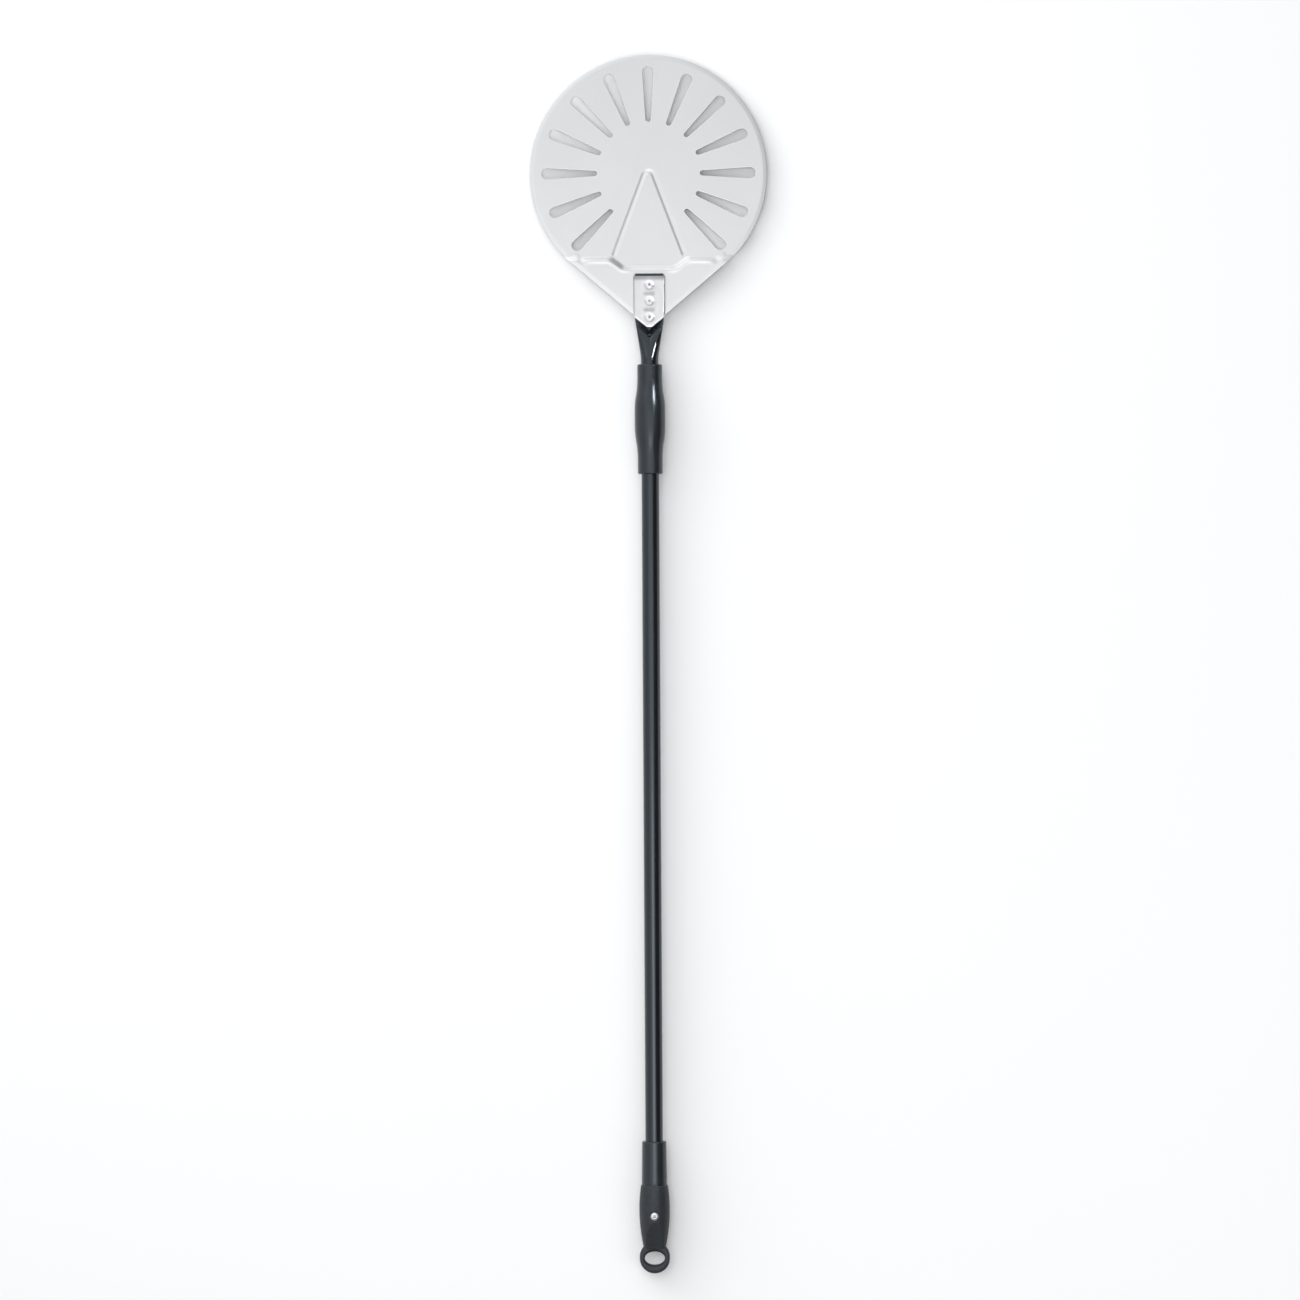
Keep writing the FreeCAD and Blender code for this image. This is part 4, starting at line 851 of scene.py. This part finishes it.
def tube_bottom(y):
    """Height of the section's lowest point."""
    share = (FLARE_FRONT - 4 - y) / (FLARE_FRONT - 4 - ROUND_END)
    return mix(TONGUE_BOTTOM, AXIS_HEIGHT - TUBE_RADIUS, soft_ramp(share, 0.2))


def tube_point(y, angle, inset=0.0):
    """A point of the section at y, with angle 0 at the top: round, then oval, then flat."""
    half = tube_half_width(y)
    flatness = soft_ramp((y - STEP_CENTRE + 6) / 10, 0.2)
    side, up = math.sin(angle), math.cos(angle)
    x = half * mix(side, math.copysign(abs(side) ** 0.8, side), flatness)
    top = tube_crown(x, y, half)
    bottom = tube_bottom(y)
    reach = top - TONGUE_MIDDLE if up > 0 else TONGUE_MIDDLE - bottom
    z = TONGUE_MIDDLE + reach * math.copysign(abs(up) ** mix(1.0, 0.45, flatness), up)
    if inset:
        x *= 1 - inset / half
        thin = min(inset, (top - bottom) / 2 - 0.15)
        z = TONGUE_MIDDLE + (z - TONGUE_MIDDLE) * (1 - thin / reach)
    return x, y, z


def make_tube():
    """Round tube pressed flat at its front, with a rounded tip and an open tail."""
    steps = 96
    front, tail = tube_high.y, tube_low.y
    stations = spread(tail, ROUND_END - 6, 12) + spread(ROUND_END - 5, FLARE_FRONT + 6, 0.8)
    stations += spread(FLARE_FRONT + 9, front - 2, 5)
    angles = [math.tau * step / steps for step in range(steps)]
    points = []
    for y in stations:
        points += [tube_point(y, angle) for angle in angles]
    rows = len(stations)
    tip_steps = 5
    for step in range(1, tip_steps + 1):
        turn = math.pi / 2 * step / (tip_steps + 1)
        shrink = math.cos(turn)
        y = front - TONGUE_TIP_RADIUS + TONGUE_TIP_RADIUS * math.sin(turn)
        for angle in angles:
            x, _, z = tube_point(front - 2, angle)
            pulled_in = math.copysign(min(abs(x), TONGUE_TIP_RADIUS) * (1 - shrink), x)
            points.append((x - pulled_in, y, TONGUE_MIDDLE + (z - TONGUE_MIDDLE) * shrink))
        rows += 1
    faces = grid_faces(rows, steps, close_columns=True)
    last = (rows - 1) * steps
    faces.append([last + step for step in range(steps)])
    inner_start = len(points)
    inner_stations = [y for y in stations if y < FLARE_FRONT - 8]
    for y in inner_stations:
        points += [tube_point(y, angle, TUBE_WALL) for angle in angles]
    faces += grid_faces(len(inner_stations), steps, close_columns=True, start=inner_start)
    deep = inner_start + (len(inner_stations) - 1) * steps
    faces.append([deep + step for step in range(steps)])
    for step in range(steps):
        after = (step + 1) % steps
        faces.append([step, after, inner_start + after, inner_start + step])
    return make_piece("tube_body", points, faces, tube_finish(), stands_for=["handle_tube"],
                      crease=40)


# -------------------- rivets

RIVET_CORE = 1.25


def make_rivet(node):
    """Domed blind rivet with a rounded flange, a dished core and a swollen blind end."""
    low, high = node_box(node)
    across, along = (low.x + high.x) / 2, (low.y + high.y) / 2
    head = (high.x - low.x) / 2
    rise, clearance = 1.7, 0.07
    sunk = DENT_DEPTH if node in NECK_RIVETS else 0.0
    seat = high.z - rise + clearance - sunk
    core, shank, bulb, bulb_length = RIVET_CORE, 2.4, 3.3, 2.8
    dome = []
    for share in spread(0.02, 1, 0.1):
        up = rise * math.cos(math.radians(62 * (1 - share)))
        dome.append((mix(head - 0.35, core + 0.55, share), seat + up - clearance))
    profile = rounded([
        (core, low.z, 0),
        (bulb, low.z, 0.9),
        (bulb, low.z + bulb_length, 0.7),
        (shank, low.z + bulb_length, 0),
        (shank, seat, 0),
        (head, seat, 0.15),
        (head, dome[0][1], 0.3),
    ])
    profile += dome
    brim = dome[-1][1]
    profile += [(core + 0.3, brim - 0.05), (core + 0.08, brim - 0.3), (core, brim - 0.7)]
    points, faces = turn_profile(profile, 64, upright(across, along))
    return make_piece(node + "_head", points, faces, FINISHES["rivet"], stands_for=[node])


def make_mandrel(node):
    """Stem left in the rivet: a torn top, and its head below the blind end."""
    low, high = node_box(node)
    across, along = (low.x + high.x) / 2, (low.y + high.y) / 2
    stem, head = RIVET_CORE, (high.x - low.x) / 2
    profile = [(0, low.z)] + rounded([
        (head, low.z, 0.3),
        (head, low.z + 0.62, 0.1),
        (stem, low.z + 0.75, 0),
        (stem, high.z - 0.25, 0),
        (stem * 0.75, high.z - 0.05, 0),
        (stem * 0.4, high.z - 0.16, 0),
    ], steps=3) + [(0, high.z - 0.02)]
    points, faces = turn_profile(profile, 40, upright(across, along))
    return make_piece(node + "_stem", points, faces, FINISHES["mandrel"], stands_for=[node],
                      crease=50)


# -------------------- sliding grip

GRIP_MIDDLE = (grip_low.y + grip_high.y) / 2
GRIP_HALF = (grip_high.y - grip_low.y) / 2
COLLAR_RADIUS, BELLY_RADIUS = 12.0, grip_high.x
FRONT_COLLAR_BACK, BELLY_FRONT = 39.6, 6.6
BELLY_BACK, REAR_COLLAR_FRONT = -4.4, -38.4
GRIP_BORE, RECESS_RADIUS, RECESS_DEPTH = 9.75, 10.9, 1.6
LINER_BORE, LINER_RADIUS = 8.55, 9.7
PARTING_RISE, PARTING_HALF_WIDTH = 0.09, 0.45


def sliding_grip_radius(y):
    """Outer radius of the barrel-shaped grip, at y ahead of its middle."""
    if y > BELLY_BACK:
        share = (FRONT_COLLAR_BACK - y) / (FRONT_COLLAR_BACK - BELLY_FRONT)
    else:
        share = (y - REAR_COLLAR_FRONT) / (BELLY_BACK - REAR_COLLAR_FRONT)
    return mix(COLLAR_RADIUS, BELLY_RADIUS, s_step(share))


def make_sliding_grip():
    """Moulded barrel with a hairline parting ridge along both sides."""
    radius, half = COLLAR_RADIUS, GRIP_HALF
    outer = [(sliding_grip_radius(y), y) for y in spread(half - 1.2, 1.2 - half, 1.2)]
    ends = rounded([
        (radius, -half, 1.0),
        (RECESS_RADIUS, -half, 0.2),
        (RECESS_RADIUS, RECESS_DEPTH - half, 0),
        (GRIP_BORE, RECESS_DEPTH - half, 0),
        (GRIP_BORE, half - RECESS_DEPTH, 0),
        (RECESS_RADIUS, half - RECESS_DEPTH, 0),
        (RECESS_RADIUS, half, 0.2),
        (radius, half, 1.0),
    ], steps=4)
    profile = [(r, y + GRIP_MIDDLE) for r, y in outer + ends]
    place = along_handle(AXIS_HEIGHT)
    steps = 128

    def with_ridge(r, along, angle):
        away = abs(math.remainder(angle - math.pi / 2, math.pi)) * r
        on_barrel = COLLAR_RADIUS - 0.01 <= r < BELLY_RADIUS - 0.1
        ridge = PARTING_RISE * pressed(away, PARTING_HALF_WIDTH) if on_barrel else 0.0
        return place(r + ridge, along, angle)

    points, faces = turn_profile(profile, steps, with_ridge)
    return make_piece("grip_barrel", points, faces, FINISHES["grip"], body="grip_sleeve",
                      stands_for=["sliding_grip"], crease=50)


def make_liner():
    """Flanged sleeve that carries the sliding grip."""
    flange, flange_back = liner_high.x, liner_high.y - 1.3
    profile = fill_steps(rounded([
        (LINER_BORE, liner_low.y, 0.2),
        (LINER_RADIUS, liner_low.y, 0.2),
        (LINER_RADIUS, flange_back, 0),
        (flange, flange_back, 0.2),
        (flange, liner_high.y, 0.3),
        (LINER_BORE, liner_high.y, 0.3),
    ]), 6)
    points, faces = turn_profile(profile, 96, along_handle(AXIS_HEIGHT))
    return make_piece("liner_sleeve", points, faces, FINISHES["liner"], body="grip_glide",
                      stands_for=["grip_liner"])


def make_retaining_ring():
    """Ring pressed on the liner's tail, which keeps the turning grip on it."""
    low, high = node_box("grip_retaining_ring")
    profile = rounded([
        (LINER_RADIUS, low.y, 0.15),
        (high.x, low.y, 0.3),
        (high.x, high.y, 0.2),
        (LINER_RADIUS, high.y, 0.15),
    ])
    points, faces = turn_profile(profile, 96, along_handle(AXIS_HEIGHT))
    return make_piece("liner_ring", points, faces, FINISHES["liner"], body="grip_glide",
                      stands_for=["grip_retaining_ring"])


# -------------------- end grip

NOSE_RADIUS, COLLAR_END_RADIUS, COLLAR_LENGTH = 11.7, 12.3, 41.0
STEP_RADIUS, STEP_BACK = 13.1, 43.0
SWELL_RADIUS, SWELL_BACK = 14.7, 66.0
END_NECK_RADIUS, END_NECK_BACK = 10.9, 102.0
SOCKET_RADIUS, SOCKET_DEPTH = 8.5, 87.0
RING_RADIUS, RING_THICKNESS = 14.6, 12.0
RING_FRONT, RING_BACK = 111.8, 113.3
HOLE_CENTRE, HOLE_HALF_WIDTH, HOLE_HALF_LENGTH = 113.2, 9.7, 6.5
SLOPE_FRONT = 76.0
SEAT_BACK, SEAT_HEIGHT, SEAT_RADIUS = 71.5, 13.9, 4.5
JOINT_LENGTH = 1.2  # how far the collar's tail reaches back into the swell


def swell_radius(back):
    """Radius of the textured part, at a distance behind the front face."""
    if back < SWELL_BACK:
        share = (SWELL_BACK - back) / (SWELL_BACK - STEP_BACK)
        return SWELL_RADIUS - (SWELL_RADIUS - STEP_RADIUS) * share ** 2
    share = (back - SWELL_BACK) / (END_NECK_BACK - SWELL_BACK)
    return SWELL_RADIUS - (SWELL_RADIUS - END_NECK_RADIUS) * share ** 2


def make_collar():
    """Smooth front of the end grip."""
    front, step = 0.0, -COLLAR_LENGTH
    outline = rounded([
        (SOCKET_RADIUS, step - JOINT_LENGTH, 0),
        (STEP_RADIUS - 0.9, step - JOINT_LENGTH, 0),
        (COLLAR_END_RADIUS, step, 0),
        (NOSE_RADIUS, front, 1.0),
        (SOCKET_RADIUS, front, 0.4),
    ], steps=5)
    profile = [(r, y + END_FRONT) for r, y in fill_steps(outline, 3)]
    points, faces = turn_profile(profile, 112, along_handle(AXIS_HEIGHT))
    return make_piece("end_grip_collar", points, faces, FINISHES["collar"], stands_for=["end_grip"],
                      crease=50)


def squircle(angle, sharpness):
    """Unit point of a rounded square section."""
    c, s = math.cos(angle), math.sin(angle)
    return (math.copysign(abs(c) ** sharpness, c), math.copysign(abs(s) ** sharpness, s))


def hanging_ring():
    """Points and faces of the ring: a rounded section carried round the oval hole."""
    around, section = 96, 28
    half = RING_THICKNESS / 2
    points = []
    for index in range(around):
        angle = math.tau * index / around
        x, y = RING_RADIUS * math.cos(angle), RING_RADIUS * math.sin(angle)
        outer = Vector((x, y - (RING_FRONT if y > 0 else RING_BACK)))
        inner = Vector((HOLE_HALF_WIDTH * math.cos(angle), HOLE_HALF_LENGTH * math.sin(angle)))
        inner.y -= HOLE_CENTRE
        for turn in range(section):
            across, up = squircle(math.tau * turn / section, 0.62)
            point = inner.lerp(outer, 0.5 + across / 2)
            points.append((point.x, END_FRONT + point.y, AXIS_HEIGHT + half * up))
    return points, grid_faces(around, section, close_rows=True, close_columns=True)


def make_end_swell():
    """Textured swell blended in to its flat hanging ring."""
    stations = spread(COLLAR_LENGTH + JOINT_LENGTH, END_NECK_BACK, 1.0)
    outline = [(swell_radius(back), -back) for back in stations]
    outline[0] = (STEP_RADIUS - 0.5, outline[0][1])
    outline += [(END_NECK_RADIUS - 1.5, -END_NECK_BACK - 1.5), (0, -END_NECK_BACK - 2)]
    bore = [(0, -SOCKET_DEPTH), (SOCKET_RADIUS, -SOCKET_DEPTH), (SOCKET_RADIUS, outline[0][1])]
    profile = [(r, y + END_FRONT) for r, y in bore + outline]
    points, faces = turn_profile(profile, 112, along_handle(AXIS_HEIGHT))
    half = RING_THICKNESS / 2
    slope_end = END_NECK_BACK + 0.8
    shaped = []
    for x, y, z in points:
        back = END_FRONT - y
        limit = mix(SWELL_RADIUS, half + 0.3, clamp((back - SLOPE_FRONT) / (slope_end - SLOPE_FRONT)))
        shaped.append((x, y, AXIS_HEIGHT + clamp(z - AXIS_HEIGHT, -limit, limit)))
    ring_points, ring_faces = hanging_ring()
    offset = len(shaped)
    faces = faces + [[corner + offset for corner in face] for face in ring_faces]
    piece = make_piece("end_grip_swell", shaped + ring_points, faces, FINISHES["spark"],
                       stands_for=["end_grip"], crease=180)
    blend_solid(piece, voxel=0.42, smoothing=5)
    press_seat(piece)
    return piece


def blend_solid(piece, voxel, smoothing):
    """Makes overlapping shells one skin and softens where they meet."""
    modifier = piece.modifiers.new("skin", "REMESH")
    modifier.mode = "VOXEL"
    modifier.voxel_size = voxel * MM
    modifier.use_smooth_shade = True
    soften = piece.modifiers.new("soften", "SMOOTH")
    soften.factor = 0.5
    soften.iterations = smoothing
    bpy.context.view_layer.update()
    evaluated = piece.evaluated_get(bpy.context.evaluated_depsgraph_get())
    mesh = bpy.data.meshes.new_from_object(evaluated)
    piece.modifiers.clear()
    old = piece.data
    piece.data = mesh
    bpy.data.meshes.remove(old)
    mesh.shade_smooth()


def press_seat(piece):
    """Flat seat under the end rivet's head."""
    seat = AXIS_HEIGHT + SEAT_HEIGHT
    for vertex in piece.data.vertices:
        away = math.hypot(vertex.co.x / MM, vertex.co.y / MM - END_FRONT + SEAT_BACK)
        if away < SEAT_RADIUS and vertex.co.z / MM > AXIS_HEIGHT + SOCKET_RADIUS + 1:
            vertex.co.z = min(vertex.co.z, seat * MM)


# -------------------- floor, light and camera

FRAME_WIDTH = 1.262  # metres across the picture, at the floor
AIM = (-0.0013, 0.0131)
ROLL = math.radians(-0.335)
LENS, SENSOR = 135.0, 36.0


def make_floor():
    """Pale paper floor, far wider than any view."""
    mesh = bpy.data.meshes.new("floor")
    reach = 30.0
    mesh.from_pydata([(-reach, -reach, 0), (reach, -reach, 0), (reach, reach, 0), (-reach, reach, 0)],
                     [], [(0, 1, 2, 3)])
    finish = Finish("floor_paper", 0.0, (0.92, 0.92, 0.92), 0.9)
    finish.shader.inputs["Specular IOR Level"].default_value = 0.0
    finish.tint(finish.noise((900, 900, 900)), (0.915, 0.918, 0.92), (0.925, 0.928, 0.93))
    mesh.materials.append(finish.material)
    floor = bpy.data.objects.new("floor", mesh)
    bpy.context.scene.collection.objects.link(floor)


def make_softbox(name, place, width, length, radiance, aim=None, beam=None, lights="both"):
    """A rectangular lamp at a place in metres, facing straight down or towards the aim point.

    A beam angle in degrees fits it with a grid that narrows its light. It can be kept to
    "highlights", or to the "floor" and the other matt surfaces.
    """
    lamp = bpy.data.lights.new(name, "AREA")
    lamp.shape = "RECTANGLE"
    lamp.size = width
    lamp.size_y = length
    lamp.energy = radiance * math.pi * width * length
    if beam:
        half = math.radians(beam / 2)
        lamp.spread = 2 * half
        lamp.energy *= 1 - half / math.tan(half)
    box = bpy.data.objects.new(name, lamp)
    box.visible_camera = False
    box.visible_diffuse = lights != "highlights"
    box.visible_glossy = lights != "floor"
    box.location = place
    if aim:
        box.rotation_mode = "QUATERNION"
        box.rotation_quaternion = (Vector(place) - Vector(aim)).to_track_quat("Z", "Y")
    bpy.context.scene.collection.objects.link(box)
    return box


def flag_off(box, piece):
    """Keeps a lamp's light off one piece, as a studio flag does."""
    flagged = bpy.data.collections.new(box.name + "_flagged")
    flagged.objects.link(piece)
    box.light_linking.receiver_collection = flagged
    flagged.collection_objects[0].light_linking.link_state = "EXCLUDE"


def make_world():
    """Soft surroundings, brighter to the upper left and near the floor."""
    world = bpy.data.worlds.new("studio")
    world.use_nodes = True
    tree = world.node_tree
    background = tree.nodes["Background"]
    place = tree.nodes.new("ShaderNodeTexCoord")
    lean = tree.nodes.new("ShaderNodeVectorMath")
    lean.operation = "DOT_PRODUCT"
    lean.inputs[1].default_value = (-0.78, 0.62, 0.0)
    tree.links.new(place.outputs["Generated"], lean.inputs[0])
    split = tree.nodes.new("ShaderNodeSeparateXYZ")
    tree.links.new(place.outputs["Generated"], split.inputs[0])
    smooth = functools.partial(range_node, tree, kind="SMOOTHSTEP")
    side = smooth(lean.outputs["Value"], -0.8, 0.9, 0.12, 0.95)
    near_floor = smooth(split.outputs["Z"], 0.06, 0.2, 1.0, 0.0)
    horizon = math_node(tree, "MULTIPLY", near_floor, smooth(lean.outputs["Value"], -0.9, 0.9, 0.5, 1.0))
    tree.links.new(math_node(tree, "MAXIMUM", side, horizon), background.inputs["Strength"])
    background.inputs["Color"].default_value = (0.97, 0.985, 1.0, 1)
    bpy.context.scene.world = world


def make_camera():
    """Looks straight down at the peel, turned by a very small roll."""
    data = bpy.data.cameras.new("camera")
    data.lens = LENS
    data.sensor_width = SENSOR
    camera = bpy.data.objects.new("camera", data)
    camera.location = (*AIM, FRAME_WIDTH * LENS / SENSOR)
    camera.rotation_euler = (0, 0, ROLL)
    data.clip_end = 100
    bpy.context.scene.collection.objects.link(camera)
    bpy.context.scene.camera = camera


def make_studio():
    """Floor, surroundings, lamps and camera. Returns the lamp that is kept off the blade.

    Some lamps make only highlights and some only soft light, so that each can be set alone. The
    ones mirrored overhead hang at different heights: level lamps hide each other in a reflection.
    """
    make_floor()
    make_world()
    make_softbox("overhead_wide", (-0.35, 0.0, 2.2), 3.0, 3.8, 0.59, lights="highlights")
    make_softbox("overhead_strip", (0.2, -0.66, 2.15), 1.9, 2.1, 0.68, lights="highlights")
    make_softbox("overhead_core", (0.1, -0.5, 2.1), 0.9, 0.66, 2.2, lights="highlights")
    make_softbox("top_panel", (-1.2, 2.7, 1.6), 3.6, 2.4, 1.15, aim=(0, 0, 0))
    right_strip = make_softbox("right_strip", (1.38, 0.95, 2.0), 0.7, 1.1, 125.0, aim=(0, 0.06, 0),
                               beam=14, lights="highlights")
    make_softbox("overhead_floor", (-0.2, 0.1, 2.6), 1.6, 1.8, 2.6, lights="floor")
    make_softbox("left_key", (-1.75, 1.55, 1.25), 1.9, 1.3, 0.9, aim=(0, 0, 0), lights="floor")
    make_softbox("left_low", (-2.6, 2.0, 0.9), 2.6, 1.2, 3.8, aim=(0, 0.2, 0), lights="floor")
    make_softbox("right_fill", (1.5, -1.3, 1.7), 1.6, 1.6, 1.3, aim=(0.2, -0.3, 0), lights="floor")
    make_camera()
    bpy.context.scene.view_settings.view_transform = "Standard"
    return right_strip


# -------------------- the object

FINISHES = {
    "rivet": rivet_finish(),
    "mandrel": mandrel_finish(),
    "grip": grip_finish(),
    "collar": grip_finish(),
    "spark": spark_finish(),
    "liner": liner_finish(),
}

right_strip = make_studio()
blade = make_blade()
flag_off(right_strip, blade)
make_cover()
make_tube()
make_sliding_grip()
make_liner()
make_retaining_ring()
make_collar()
make_end_swell()
for rivet in (*NECK_RIVETS, "end_rivet"):
    make_rivet(rivet)
    make_mandrel(rivet + "_mandrel")
